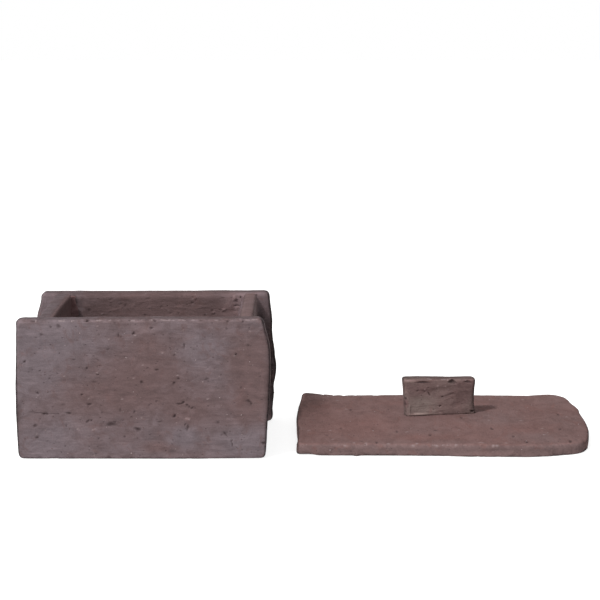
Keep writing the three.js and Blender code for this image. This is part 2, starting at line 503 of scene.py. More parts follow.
def finish_tree(tree, geometry, material):
    """Ends a tree with real geometry that has its material."""
    real = add(tree, "GeometryNodeRealizeInstances", {"Geometry": geometry}).outputs[0]
    made = add(tree, "GeometryNodeSetMaterial", {"Geometry": real, "Material": material}).outputs[0]
    add(tree, "NodeGroupOutput", {"Geometry": made})


def store(tree, geometry, name, value, domain="POINT"):
    """Keeps a value on the geometry, as a tone that the materials read by its name."""
    inputs = {"Geometry": geometry, "Name": name, "Value": value}
    made = add(tree, "GeometryNodeStoreNamedAttribute", inputs, data_type="FLOAT", domain=domain)
    return made.outputs["Geometry"]


def blurred(tree, vector, steps):
    inputs = {"Value": vector, "Iterations": steps}
    return add(tree, "GeometryNodeBlurAttribute", inputs, data_type="FLOAT_VECTOR").outputs[0]


NUMBER = "NodeSocketFloat"

# How many steps of the grid the blur reaches that tells an edge from a flat
EDGE_REACH = 12
EDGE_GAIN = 1.6
# How many patches of wiping fit into a metre
WIPED_PATCHES = 20.0
# The relief that counts as a full height for the materials
FULL_HEIGHT = 0.12 * MM
# How dark the painted shade in a chip is, beside that in a pit
CHIP_TONE = 0.3

WORKED_CLAY_INPUTS = {
    "Softening": ("NodeSocketInt", 2),
    "Fullness": (NUMBER, 0.4 * MM),
    "Grid": (NUMBER, 0.9 * MM),
    "Waviness": (NUMBER, 0.45 * MM),
    "Wave Length": (NUMBER, 42 * MM),
    "Wiping": (NUMBER, 0.11 * MM),
    "Wiping Width": (NUMBER, 2.6 * MM),
    "Wiping Stretch": ("NodeSocketVector", (0.16, 1.0, 1.0)),
    "Grit": (NUMBER, 0.05 * MM),
    "Grit Size": (NUMBER, 2.0 * MM),
    "Pit Depth": (NUMBER, 0.55 * MM),
    "Pit Radius": (NUMBER, 1.1 * MM),
    "Pit Spacing": (NUMBER, 7.5 * MM),
    "Pit Share": (NUMBER, 0.4),
    "Chip Depth": (NUMBER, 0.5 * MM),
    "Chip Length": (NUMBER, 8 * MM),
    "Shift": ("NodeSocketVector", (0.0, 0.0, 0.0)),
    "Material": ("NodeSocketMaterial", None),
}


def worked_clay_tree():
    """Softens a fine mesh and works its surface, and paints edge, height and pit tones on it; the pit tone
    marks the painted shade in pits and chips.
    """
    tree = geometry_tree("Worked clay", WORKED_CLAY_INPUTS)
    given = tree.nodes.new("NodeGroupInput").outputs
    place = tree.nodes.new("GeometryNodeInputPosition").outputs[0]
    normal = tree.nodes.new("GeometryNodeInputNormal").outputs[0]

    softened = blurred(tree, place, given["Softening"])
    clay = add(tree, "GeometryNodeSetPosition",
               {"Geometry": given["Geometry"], "Position": softened}).outputs[0]

    outwards = calculate_vector(tree, "SUBTRACT", place, blurred(tree, place, EDGE_REACH))
    bulge = dot(tree, outwards, normal)
    edge = times(tree, over(tree, bulge, given["Grid"]), EDGE_GAIN)
    clay = store(tree, clay, "edge", edge)

    spot = calculate_vector(tree, "ADD", place, given["Shift"])

    def per(length):
        return over(tree, 1.0, given[length])

    def swing(value, length):
        return times(tree, minus(tree, value, 0.5), times(tree, given[length], 2.0))

    wave = swing(noise(tree, spot, per("Wave Length"), 3.0, 0.5), "Waviness")
    along = stretched(tree, spot, given["Wiping Stretch"])
    wiped = ramp(tree, noise(tree, spot, WIPED_PATCHES), 0.35, 0.6, 0.35, 1.0)
    wipe = times(tree, swing(noise(tree, along, per("Wiping Width"), 3.0, 0.6), "Wiping"), wiped)
    grit = swing(noise(tree, spot, per("Grit Size"), 2.0, 0.6), "Grit")
    pit = spots(tree, spot, given["Pit Spacing"], given["Pit Radius"], given["Pit Share"])
    ragged = ramp(tree, noise(tree, spot, per("Chip Length"), 3.0, 0.65), 0.52, 0.72)
    chip = times(tree, ragged, ramp(tree, edge, 0.25, 0.9))

    clay = store(tree, clay, "pit", calculate(tree, "MAXIMUM", pit, times(tree, chip, CHIP_TONE)))
    relief = plus(tree, wipe, grit)
    clay = store(tree, clay, "height", over(tree, relief, FULL_HEIGHT))

    height = plus(tree, plus(tree, relief, wave), given["Fullness"])
    height = minus(tree, height, times(tree, pit, given["Pit Depth"]))
    height = minus(tree, height, times(tree, chip, given["Chip Depth"]))
    off_the_ground = ramp(tree, part_of(tree, normal, 2), -0.95, -0.6)
    offset = scaled(tree, normal, times(tree, height, off_the_ground))
    clay = add(tree, "GeometryNodeSetPosition", {"Geometry": clay, "Offset": offset}).outputs[0]
    finish_tree(tree, clay, given["Material"])
    return tree


# The sizes of a grain along its three axes, and of the smallest one beside the largest
FLATTEST_GRAIN = (1.0, 1.0, 0.45)
ROUNDEST_GRAIN = (1.8, 1.3, 0.8)
SMALLEST_GRAIN = 0.4

GROG_INPUTS = {
    "Density": (NUMBER, 9000.0),
    "Radius": (NUMBER, 0.55 * MM),
    "Seed": ("NodeSocketInt", 1),
    "Material": ("NodeSocketMaterial", None),
}


def grog_tree():
    """Grains of fired clay, half sunk in the surface and thicker along its edges."""
    tree = geometry_tree("Grog", GROG_INPUTS)
    given = tree.nodes.new("NodeGroupInput").outputs

    def painted(name):
        return add(tree, "GeometryNodeInputNamedAttribute", {"Name": name}, data_type="FLOAT").outputs[0]

    def random(low, high, seed):
        inputs = {2: low, 3: high, "Seed": seed}
        return add(tree, "FunctionNodeRandomValue", inputs, data_type="FLOAT").outputs[1]

    thicker = ramp(tree, painted("edge"), 0.3, 0.9, 1.0, 3.0)
    density = times(tree, given["Density"], times(tree, thicker, painted("open")))
    scattered = add(tree, "GeometryNodeDistributePointsOnFaces",
                    {"Mesh": given["Geometry"], "Density": density, "Seed": given["Seed"]})
    shape = add(tree, "FunctionNodeRandomValue",
                {"Min": FLATTEST_GRAIN, "Max": ROUNDEST_GRAIN, "Seed": given["Seed"]},
                data_type="FLOAT_VECTOR").outputs[0]
    size = random(times(tree, given["Radius"], SMALLEST_GRAIN), given["Radius"], seed=7)
    grain = add(tree, "GeometryNodeMeshIcoSphere", {"Radius": 1.0, "Subdivisions": 1}).outputs[0]
    placed = add(tree, "GeometryNodeInstanceOnPoints", {
        "Points": scattered.outputs["Points"],
        "Instance": grain,
        "Rotation": scattered.outputs["Rotation"],
        "Scale": scaled(tree, shape, size),
    }).outputs[0]
    turn = add(tree, "ShaderNodeCombineXYZ", {2: random(0.0, math.tau, seed=11)}).outputs[0]
    placed = add(tree, "GeometryNodeRotateInstances", {"Instances": placed, "Rotation": turn}).outputs[0]
    placed = store(tree, placed, "tone", random(0.0, 1.0, seed=13), "INSTANCE")
    finish_tree(tree, placed, given["Material"])
    return tree


# Materials


def painted_tone(tree, name):
    return add(tree, "ShaderNodeAttribute", attribute_name=name).outputs["Fac"]


def blend_colours(tree, share, first, second):
    """The first colour, covered by the second as far as the share says."""
    made = tree.nodes.new("ShaderNodeMix")
    made.data_type = "RGBA"
    made.clamp_factor = True
    for key, value in ((0, share), (6, first), (7, second)):
        if isinstance(value, bpy.types.NodeSocket):
            tree.links.new(value, made.inputs[key])
        elif key == 0:
            made.inputs[key].default_value = value
        else:
            made.inputs[key].default_value = (*value, 1.0)
    return made.outputs[2]


def new_material(name):
    material = bpy.data.materials.new(name)
    material.use_nodes = True
    material.node_tree.nodes.clear()
    return material


def finish_material(tree, inputs):
    """Ends a material's tree with its surface."""
    surface = add(tree, "ShaderNodeBsdfPrincipled", inputs)
    add(tree, "ShaderNodeOutputMaterial", {0: surface.outputs[0]})


Finish = namedtuple("Finish", "red grey spread stretch streaks mottle foot roughness shift")

# How the noise is stretched along each axis: the lower the number, the longer its forms
EVEN = (1.0, 1.0, 1.0)
FRONT_TO_BACK = (1.0, 0.45, 1.0)
ALL_ROUND = (0.7, 0.8, 1.0)
ALONG_BOX = (0.15, 1.0, 1.0)
ALONG_WALL = (1.0, 0.15, 1.0)
UPRIGHT = (1.0, 1.0, 0.25)

# How many waves of each noise fit into a metre
PATCH_SCALE = 24.0
WIPED_SCALE = 60.0
RUST_SCALE = 95.0
BLOTCH_SCALE = 150.0
WIDE_STREAK_SCALE = 210.0
PALE_EDGE_SCALE = 260.0
PALE_LINE_NOISE_SCALE = 600.0
STREAK_SCALE = 640.0
GRAIN_SCALE = 900.0

# The colours of the rust and of the seams, beside the red clay
RUST_TINT = (0.97, 0.88, 0.85)
SEAM_TINT = (1.07, 0.94, 0.94)
# How far each thing carries the clay towards grey, at its full
PAINTED_BLOOM = 0.34
BLOTCH_BLOOM = 0.07
# How much each thing lightens (above 0) or darkens (below 0) the clay, at its full
GRAIN_TONE = 0.09
HEIGHT_TONE = 0.08
# Pale edges that face up or forwards: partly rubbing, partly a painted highlight
EDGE_RUBBING_AND_HIGHLIGHT = 0.26
# Painted shade in creases and on edges that face sideways, back or down
CREASE_AND_EDGE_SHADE = -0.42
FOOT_TONE = -0.42
# How far each thing covers the clay with its own colour, at its full
RUST_COVER = 0.5
# Painted shade in the small dark dimples
DARK_SPOT_COVER = 0.45
LIGHT_SPOT_COVER = 0.5
# Painted shade in pits, chips and pressed marks
PIT_COVER = 0.85
# The pale line along upper front edges: partly rubbing, partly a painted highlight
PALE_LINE_COVER = 0.4
# Height of the band of dark at a piece's foot, and how far its upper edge wanders
FOOT_BAND = 2.8 * MM
FOOT_WANDER = 1.2 * MM
# The small relief that only the bump carries
BUMP_HEIGHT = 0.32 * MM


def stoneware(name, finish):
    """Unglazed clay: mottled, streaked by wiping, speckled with grog, with painted shade in its pits, creases
    and the edges that face away, pale on edges that face up (partly rubbed, partly a painted highlight), and
    darkened or lightened further by the painted shade tone.
    """
    colours = bpy.context.scene.stoneware_colours
    material = new_material(name)
    tree = material.node_tree
    plain = add(tree, "ShaderNodeTexCoord").outputs["Object"]
    place = stretched(tree, plain, finish.spread, finish.shift)
    along = stretched(tree, place, finish.stretch)

    def swing(value, amount, low=0.25, high=0.75):
        return ramp(tree, value, low, high, -amount, amount)

    def total(*values):
        sum_so_far = values[0]
        for value in values[1:]:
            sum_so_far = plus(tree, sum_so_far, value)
        return sum_so_far

    patches = ramp(tree, noise(tree, place, PATCH_SCALE, 4.0, 0.55, 0.5), 0.2, 0.8, 0.38, 0.62)
    blotches = noise(tree, stretched(tree, place, (0.6, 1.0, 1.0)), BLOTCH_SCALE, 4.0, 0.6, 0.8)
    painted_bloom = times(tree, painted_tone(tree, "bloom"), PAINTED_BLOOM)
    bloom = total(patches, painted_bloom, swing(blotches, BLOTCH_BLOOM))
    colour = blend_colours(tree, ramp(tree, bloom, 0.2, 0.85), finish.red, finish.grey)
    rust = ramp(tree, noise(tree, place, RUST_SCALE, 4.0, 0.6, 1.0), 0.52, 0.72, 0.0, RUST_COVER)
    colour = blend_colours(tree, rust, colour, tuple(np.array(finish.red) * RUST_TINT))

    streak = noise(tree, along, STREAK_SCALE, 4.0, 0.6, 0.4)
    elsewhere = stretched(tree, along, EVEN, (0.7, 0.3, 0.9))
    wide_streak = noise(tree, elsewhere, WIDE_STREAK_SCALE, 3.0, 0.55, 0.6)
    wiped = ramp(tree, noise(tree, place, WIPED_SCALE, 2.0), 0.35, 0.65, 0.25, 1.0)
    grain = noise(tree, place, GRAIN_SCALE, 3.0, 0.7)
    streaks = times(tree, total(swing(streak, finish.streaks), swing(wide_streak, finish.streaks)), wiped)
    # The clay's own streaks and mottling, with the painted shade and painted light of the shade tone
    shade = total(
        streaks,
        swing(blotches, finish.mottle),
        swing(grain, GRAIN_TONE),
        painted_tone(tree, "shade"),
        times(tree, painted_tone(tree, "height"), HEIGHT_TONE),
    )

    # Edges that face up or forwards are lightened, partly as rubbing and partly as a painted highlight;
    # creases and edges that face away get painted shade.
    edge = painted_tone(tree, "edge")
    rubbing_and_highlight = ramp(tree, noise(tree, place, PALE_EDGE_SCALE, 3.0, 0.65), 0.38, 0.62, 0.15, 1.0)
    edge_rubbing_and_highlight = times(tree, ramp(tree, edge, 0.2, 0.9, 0.0, EDGE_RUBBING_AND_HIGHLIGHT), rubbing_and_highlight)
    # Painted shade in creases and on edges that face away from the light
    hidden = ramp(tree, edge, -0.7, -0.05, CREASE_AND_EDGE_SHADE, 0.0)
    height_above = plus(tree, part_of(tree, plain, 2), swing(blotches, FOOT_WANDER))
    foot = ramp(tree, height_above, finish.foot, finish.foot + FOOT_BAND, FOOT_TONE, 0.0)
    colour = scaled(tree, colour, total(shade, edge_rubbing_and_highlight, hidden, foot, 1.0))

    dashes = stretched(tree, place, tuple(0.45 + 0.55 * part for part in finish.stretch))
    # Dark dimples: painted shade in small hollows of the bump
    dark = spots(tree, dashes, spacing=3.0 * MM, radius=0.6 * MM, share=0.5)
    other_dashes = stretched(tree, dashes, EVEN, (3.1, 1.7, 2.3))
    light = spots(tree, other_dashes, spacing=4.6 * MM, radius=0.5 * MM, share=0.22)
    # A pale broken line on upper front edges: partly rubbing, partly a painted highlight
    pale_line = total(painted_tone(tree, "rubbing_and_highlight"), swing(noise(tree, place, PALE_LINE_NOISE_SCALE, 2.0), 0.25))
    colour = blend_colours(tree, times(tree, dark, DARK_SPOT_COVER), colour, colours.pit_shade)
    colour = blend_colours(tree, times(tree, light, LIGHT_SPOT_COVER), colour, colours.grog_light)
    # Painted shade in pits, chips and pressed marks
    colour = blend_colours(tree, times(tree, painted_tone(tree, "pit"), PIT_COVER), colour, colours.pit_shade)
    colour = blend_colours(tree, painted_tone(tree, "speck"), colour, colours.grog_light)
    colour = blend_colours(tree, ramp(tree, pale_line, 0.6, 0.95, 0.0, PALE_LINE_COVER), colour, colours.grog_light)

    relief = total(
        times(tree, grain, 0.7),
        times(tree, streak, 0.7),
        times(tree, blotches, 0.8),
        times(tree, light, 0.4),
        times(tree, dark, -0.8),
    )
    bump = add(tree, "ShaderNodeBump", {"Strength": 0.9, "Distance": BUMP_HEIGHT, "Height": relief})
    finish_material(tree, {
        "Base Color": colour,
        "Roughness": ramp(tree, blotches, 0.25, 0.75, finish.roughness - 0.05, finish.roughness + 0.05),
        "Normal": bump.outputs[0],
        "Specular IOR Level": 0.15,
    })
    return material


def grog_material():
    """Pale and rust-coloured grains, each of one tone."""
    colours = bpy.context.scene.stoneware_colours
    material = new_material("Grog")
    tree = material.node_tree
    tone = painted_tone(tree, "tone")
    place = add(tree, "ShaderNodeTexCoord").outputs["Object"]
    colour = blend_colours(tree, ramp(tree, tone, 0.5, 1.1), colours.box_red, colours.grog_light)
    finish_material(tree, {
        "Base Color": scaled(tree, colour, ramp(tree, noise(tree, place, 2500.0), 0.3, 0.7, 0.8, 1.15)),
        "Roughness": 0.85,
        "Specular IOR Level": 0.3,
    })
    return material


def finish_for(slot):
    """The looks of one of the four clays."""
    colours = bpy.context.scene.stoneware_colours
    box = Finish(
        red=colours.box_red, grey=colours.box_grey, spread=EVEN, stretch=ALONG_BOX, streaks=0.11,
        mottle=0.13, foot=0.0, roughness=0.92, shift=(0.0, 0.0, 0.0),
    )
    finishes = {
        "box_clay": box,
        "seam_clay": box._replace(
            red=tuple(np.array(colours.box_red) * SEAM_TINT), stretch=UPRIGHT, streaks=0.12, mottle=0.2,
            shift=(1.0, 0.4, 0.7),
        ),
        "lid_clay": box._replace(
            red=colours.lid_red, grey=colours.lid_grey, spread=FRONT_TO_BACK, stretch=ALL_ROUND,
            streaks=0.06, mottle=0.14, roughness=0.9, shift=(0.3, 0.2, 0.1),
        ),
        "knob_clay": box._replace(
            red=colours.knob_red, grey=colours.knob_grey, streaks=0.12, mottle=0.14,
            foot=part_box("lid_knob")[0].z - 2 * MM, roughness=0.9, shift=(0.8, 0.1, 0.5),
        ),
    }
    return finishes[slot]


def material_for(slot):
    """A slot's material, made the first time that it is asked for."""
    name = slot.replace("_", " ").capitalize()
    return bpy.data.materials.get(name) or stoneware(name, finish_for(slot))


# Faces: the ways they look, and the two axes that lie in each

FRONT = np.array((0.0, -1.0, 0.0))
RIGHT = np.array((1.0, 0.0, 0.0))
TOP = np.array((0.0, 0.0, 1.0))


def front_face(points):
    return points[:, [0, 2]]


def side_face(points):
    return points[:, [1, 2]]


def top_face(points):
    return points[:, [0, 1]]


# Marks that the real box carries, in millimetres on the face that they lie on

Mark = namedtuple("Mark", "x y across up depth slant")

# How much wider a mark is made than it looks, because its rim fades out
FADING_RIM = 1.15


def pit(x, y, size=1.2, depth=0.8):
    return Mark(x, y, size * FADING_RIM, size, depth, 0.0)


def scratch(x, y, length, slant=0.0, width=0.8, depth=0.4):
    return Mark(x, y, length, width * FADING_RIM, depth, math.radians(slant))


# On the front slab's face
FRONT_PITS = [
    pit(-92.2, 81.5, 1.3), pit(-78, 103.6, 1.5, 0.5), pit(-64, 110.5, 2.2, 0.5), pit(-70.4, 109.8, 1),
    scratch(-53.2, 83.3, 2), pit(-5, 104.7, 1.5, 1), pit(-15.4, 101.7, 1.2, 0.5),
    scratch(-25.6, 91.6, 2.4, 35), scratch(-34, 83, 2.2, -20), pit(-43.1, 76.2, 1.2),
    pit(-34.5, 71, 1.1, 0.9), pit(0.2, 64.8, 1.4, 0.9), scratch(-73.3, 67.7, 1.6, 40), pit(9, 109, 1.5),
    scratch(34.6, 94.6, 2.8, 85, 1, 0.7), pit(75.4, 87.2, 1.3, 1), scratch(68.5, 108.3, 1.6, -40),
    pit(85.3, 94.9, 1.1, 0.5), pit(26, 64, 1.5, 0.9), pit(29.6, 67.7, 1.2),
    scratch(12.6, 74.8, 3.2, 2, 0.7, 0.8), pit(26.9, 87.2, 1, 0.5), scratch(97.1, 112, 1.4, -50),
    pit(-83.1, 55.7, 1.2), pit(-47.9, 54.2, 1.1, 0.9), scratch(-42.4, 46.2, 2.8, 0, 1.2, 0.9),
    scratch(-58.9, 38.7, 3, 0, 1.1, 0.8), pit(-78.9, 38.2, 1.4), scratch(-84.6, 39.3, 8, -6, 0.7, 0.5),
    scratch(-76.8, 38.3, 2.4, 0, 1.1, 0.9), scratch(-71.5, 38.2, 5, 2, 0.5, 0.4),
    scratch(-43.6, 32.2, 1.8, 30, 1.1, 0.9), pit(-41.2, 32.6, 1.2, 0.8), pit(-45, 31.2, 1, 0.6),
    scratch(-25, 29.4, 6.4, 2, 1.7, 0.8), scratch(-22.4, 31.4, 2, -12, 1.2, 0.5),
    scratch(-17.5, 41.4, 2.2, 85, 1.1, 0.4), scratch(-6.4, 39.9, 2.2, 75, 0.8, 0.7),
    pit(-8.7, 35.8, 1, 0.5), scratch(-3.8, 25.2, 3.2, -32, 2, 1.1), scratch(29.8, 46.5, 3.4, 6, 0.9, 0.8),
    pit(33, 47.8, 1.5, 1.1), pit(36, 45.6, 1.1, 0.8), pit(37.6, 44.2, 1, 0.8), pit(40, 43, 1.2, 0.9),
    pit(42.4, 43.2, 0.8, 0.6), pit(25.9, 36.3, 1.6, 1.3), scratch(36.2, 27, 4.2, 84, 1.1, 0.6),
    scratch(34.2, 29.4, 2, 50, 0.8, 0.5), pit(11.4, 48.7, 1, 0.5), scratch(-38, 65, 4),
    scratch(-63, 46, 2.6, 4, 1, 0.3), scratch(52, 67.3, 2.6, 10, 1.4, 0.3), pit(-86.2, 28.4, 2, 0.6),
    pit(-85.2, 18.3, 1.6, 0.6), pit(-14.7, 19.1, 1), scratch(5.7, 45.7, 1.8, 80),
    scratch(52.4, 67, 1.8, 10), pit(97.2, 13.8, 2.2, 0.9), scratch(66.2, 21.5, 3.2, -52, 0.8, 0.6),
    scratch(71.6, 13.2, 4, -80, 0.6, 0.8), scratch(85.6, 48.6, 2.4, -12, 1.1, 0.9),
    pit(87.2, 46.8, 1.2, 0.8), scratch(84.2, 49.6, 2.4, 8, 0.6, 0.5),
    scratch(-17.2, 103, 2.6, 86, 0.9, 0.6), scratch(-61.5, 28.5, 2.2, 88, 0.6, 0.5),
    pit(-35.5, 17.4, 1, 0.5), pit(-32.2, 39.4, 0.9, 0.6), scratch(14, 31.8, 3, 4, 0.6, 0.5),
    pit(-80.4, 74.2, 0.9, 0.6), pit(60.6, 31.2, 1.2, 0.5),
]
FRONT_DENTS = [
    Mark(-96.3, 45.5, 3.6, 5, 0.5, 0.4), Mark(-60, 60, 26, 14, 0.35, 0.1), Mark(30, 40, 30, 16, 0.3, -0.1),
    Mark(-18, 84, 22, 12, 0.3, 0),
]
FRONT_RIM_NICKS = [
    scratch(-40.8, 115.2, 2.2, 35, 1.2, 1.3), scratch(-84, 114.6, 3, 0, 0.8, 0.5),
    scratch(69.3, 114.6, 1.8, 0, 1, 0.7), scratch(81.3, 114.4, 1.3, 60, 0.8, 0.7),
    scratch(12, 115, 2, -20, 0.9, 0.6), scratch(-8, 115.2, 1.4, 20, 0.8, 0.5),
]
FRONT_GRAINS = [
    (-4, 102.9), (-34.4, 72.1), (-61.2, 69.5), (-24.6, 100), (-33.4, 110.5), (1.6, 78.9), (34, 107.2),
    (74.3, 86.5), (86.5, 106.5), (29, 70.3), (17.3, 88.7), (-42.7, 50.9), (-0.6, 34.9), (-52.2, 25.5),
    (-40.1, 24.7), (-38.4, 25.6), (-83.2, 53.9), (-85.4, 21.3), (-15.6, 50.5), (-6.1, 67.9), (-16, 39.8),
    (68, 37.6), (52.6, 50.6), (35.2, 34.8), (37.4, 33.6), (-35.3, 72.6),
]

# On the back slab's inner face
BACK_MARKS = [
    scratch(-54, 111.2, 4.4, 0, 0.6, 0.2), scratch(-37, 111.2, 3.6, 0, 0.9, 0.45),
    pit(-28.8, 106.9, 1.2, 0.35), pit(-24.8, 105.2, 1.6, 0.45), scratch(-23, 102.2, 4.2, -52, 0.8, 0.25),
    scratch(-36.2, 104.2, 2.4, 0, 0.7, 0.2), scratch(-5, 111.6, 3.4, -6, 0.9, 0.4),
    pit(6.4, 104.6, 1.4, 0.4), scratch(7.2, 109.2, 2, 0, 0.7, 0.25), scratch(-7.6, 97.2, 2.4, 4, 1, 0.35),
    scratch(14.3, 98.9, 1.8, 20, 0.8, 0.35), scratch(-56, 101.2, 2.2, 40, 0.8, 0.25),
    scratch(-44, 96.9, 5.4, 0, 0.8, 0.25), pit(-45.8, 99.8, 1, 0.3), pit(-37.7, 100, 1.2, 0.25),
    pit(33.7, 113, 1.2, 0.3), pit(33, 108, 1.4, 0.5), scratch(36.5, 110.7, 1.8, -50, 1.2, 0.35),
    pit(31.6, 97.6, 1.2, 0.3), pit(43.8, 96.7, 1.5, 0.45), pit(50.2, 101.2, 1.5, 0.4),
    scratch(50.9, 97.9, 1.8, 20, 1, 0.4), pit(57.7, 101.8, 1.3, 0.4),
    scratch(60.4, 99.4, 2.4, -25, 1.1, 0.3), scratch(59.4, 112.2, 3.2, -8, 0.9, 0.35),
    scratch(67.4, 112.4, 1.8, -62, 0.7, 0.3), scratch(71.4, 105.6, 3.2, 0, 1.1, 0.6),
    scratch(70, 101.4, 1.2, 90, 2.6, 0.3), scratch(-25.5, 110.2, 8.6, 0, 1.6, 0.15),
    scratch(74.8, 112.6, 2.6, -40, 1, 0.35),
]
BACK_RIDGES = [
    Mark(70.2, 112.6, 2.6, 3.2, -1, 0.4), Mark(-58.6, 105, 3, 5, -0.5, 0.3),
    Mark(-3.8, 104.2, 2.6, 1.2, -0.4, 0), Mark(-17.3, 105.8, 1.2, 2.6, -0.3, 0.6),
    Mark(60.8, 102.2, 2.4, 1.6, -0.4, 0.2), Mark(65, 106, 5, 7, -0.5, 0.2),
    Mark(-36, 101.5, 8, 1, -0.25, 0.2), Mark(20, 104, 10, 1.2, -0.25, -0.1),
    Mark(42, 104.5, 7, 1.4, -0.3, 0.1), Mark(-12, 108.5, 5, 1, -0.25, 0.1),
    Mark(51.8, 99.6, 2.2, 0.8, -0.4, 0.7),
]
BACK_GRAINS = [(44.9, 98.2), (-45.4, 98.4), (-3.2, 103.4), (33.4, 111.6), (60.6, 102), (12.4, 101.4)]

# On the lid's top, but its foot marks on its front edge
LID_PITS = [
    pit(188.9, -42.8, 1.2), pit(160.9, -6.9, 1.3, 0.5), pit(171.2, 45.8, 1.5, 0.5), pit(207.7, -15, 1.2),
    pit(234.5, -24.2, 1.2), pit(288.3, -7.4, 1.6, 0.6), pit(352.5, 33, 1.4, 1), pit(311.5, -41, 1.4),
    pit(303.1, -26.8, 1.1), pit(347.6, -39.7, 1.5), pit(345.8, -8.2, 1.1), pit(266.4, 22.5, 1.2),
    scratch(176.5, -39.8, 1.8, 60), scratch(148.5, -24.3, 2.4, 10), scratch(240, -12, 3, 5),
]
# How much longer the pits are drawn from front to back
LID_PIT_LENGTH = 2.8
LID_DENTS = [
    Mark(150, 44, 16, 22, 0.6, 0.2), Mark(262, -4, 34, 16, 0.35, 0.1), Mark(190, 5, 30, 20, 0.3, -0.2),
    Mark(325, 20, 24, 30, 0.35, 0),
]
LID_BACK_NICKS = [
    scratch(146, 90, 4, 10, 2, 0.8), scratch(158, 91, 2.6, 0, 2, 1), scratch(167, 90, 3.2, -8, 2.4, 0.7),
    scratch(178, 91, 2, 0, 1.6, 0.8), scratch(196, 90, 5, 0, 1.6, 0.5),
]
LID_FOOT_MARKS = [
    scratch(174, 1.4, 2.2, 20, 0.9, 0.7), scratch(181, 1, 2.6, 0, 0.8, 0.8),
    scratch(189, 1.3, 2, -10, 0.9, 0.7), scratch(196, 0.9, 2.4, 0, 0.7, 0.6), pit(168, 4.4, 0.9, 0.4),
    scratch(214, 1, 3.4, 0, 0.7, 0.5),
]
LID_GRAINS = [
    (133.7, -12.4), (151.6, -13.2), (153.3, -36), (162.9, -47.5), (164.6, -47.8), (170.3, -44.4),
    (180, -44.9), (167.2, 47.3), (160.3, 72), (215.9, -16.8), (218.2, -48), (221.4, -46.1), (237.3, -48),
    (273.1, -44.1), (274.8, -44.6), (283.2, -48), (286.1, -48), (294, -44.5), (337.7, -49.6), (330.6, -6.8),
    (316.9, 15.4), (329.1, 76), (259.9, -10.9), (329.4, -24.2), (357.9, 24), (289.2, 15.3), (198, -46),
    (253, -47.5),
]

# On the knob's front face, from the middle of its foot
KNOB_MARKS = [
    scratch(11.7, 30.2, 4.6, -3, 1.9, 2.6), scratch(-14.5, 30.4, 7.6, 2, 1, 0.9),
    scratch(25.4, 30, 5.2, -8, 1.3, 0.8), pit(-12.2, 21.9, 1.1, 0.4), pit(-9.3, 25.4, 1, 0.4),
    scratch(-8.2, 19.6, 3.2, -54, 0.7, 0.7), scratch(-18.2, 22.8, 2.4, 8, 0.9, 0.3), pit(3.3, 17, 1.1, 0.8),
    pit(1.5, 8.6, 1.1, 0.8), scratch(-28.8, 15.8, 1.4, 70, 1.1, 0.7), scratch(-29, 4.6, 1, 80, 1.6, 0.6),
    scratch(30.2, 2.4, 2.4, 10, 1.5, 1.1), scratch(-22, 2.4, 1.6, 0, 0.6, 0.3), pit(-4, 5.6, 0.8, 0.4),
]
KNOB_DENTS = [
    Mark(-4, 21, 18, 7, 0.6, 0.1), Mark(20, 12, 10, 9, 0.5, 0.3), Mark(10, 18.5, 7, 1.6, 0.3, 0.3),
]
KNOB_RIDGES = [
    Mark(-25.2, 6.6, 1.6, 5, -0.5, 0), Mark(8, 15.2, 6, 1.2, -0.25, 0.25),
    Mark(-14, 1.6, 12, 1.4, -0.5, 0.05),
]
KNOB_GRAINS = [
    (-12.2, 23.9), (-0.9, 26.8), (5.9, 26.3), (7.6, 32), (23.4, 31.6), (-27, 31.8), (-25, 2.6), (1.5, 2.4),
]

# The share of pits among the marks that are strewn at random
PIT_SHARE = 0.45
# How far a mark's rim strays from an ellipse
RAGGEDNESS = 0.15
# How pale a grain is at its middle
SPECK_TONE = 0.6


def scattered(low, high, count, seed):
    """Pits and short scratches strewn over a face, from its low corner to its high one."""
    random = np.random.default_rng(seed)
    marks = []
    for x, y in random.uniform(low, high, (count, 2)):
        if random.random() < PIT_SHARE:
            marks.append(pit(x, y, random.uniform(0.9, 1.6), random.uniform(0.4, 0.9)))
        else:
            length = random.uniform(1.6, 5.0)
            slant = random.uniform(-30, 30)
            marks.append(scratch(x, y, length, slant, random.uniform(0.7, 1.3), random.uniform(0.3, 0.7)))
    return marks


def spots_on(points, marks, soft=0.2):
    """Each mark with its shape on the face, from 1 at its middle to 0 at its ragged rim."""
    for mark in marks:
        cosine = math.cos(mark.slant)
        sine = math.sin(mark.slant)
        turn = np.array(((cosine, sine), (-sine, cosine)))
        local = (points - (mark.x * MM, mark.y * MM)) @ turn.T / (mark.across * MM, mark.up * MM)
        around = np.arctan2(local[:, 1], local[:, 0])
        lobes = np.cos(2 * around + mark.x) + np.cos(3 * around + mark.y)
        away = np.hypot(local[:, 0], local[:, 1]) * (1 + RAGGEDNESS * lobes)
        yield mark, 1 - smooth_step(away, soft, 1.0)


def press(mesh, facing, face_points, marks, darkness=0.0, inwards=None):
    """Presses marks into the face that looks along facing, straight in or along inwards, and paints shade
    into them.
    """
    points = points_of(mesh)
    open_to = smooth_step(normals_of(mesh) @ facing, 0.25, 0.7)
    dark = read_tone(mesh, "pit")
    for mark, shape in spots_on(face_points(points), marks):
        points += np.outer(shape * open_to * mark.depth * MM, -facing if inwards is None else inwards)
        dark = np.maximum(dark, shape * open_to * darkness * min(1.0, 0.3 + mark.depth))
    set_points(mesh, points)
    paint_tone(mesh, "pit", dark)


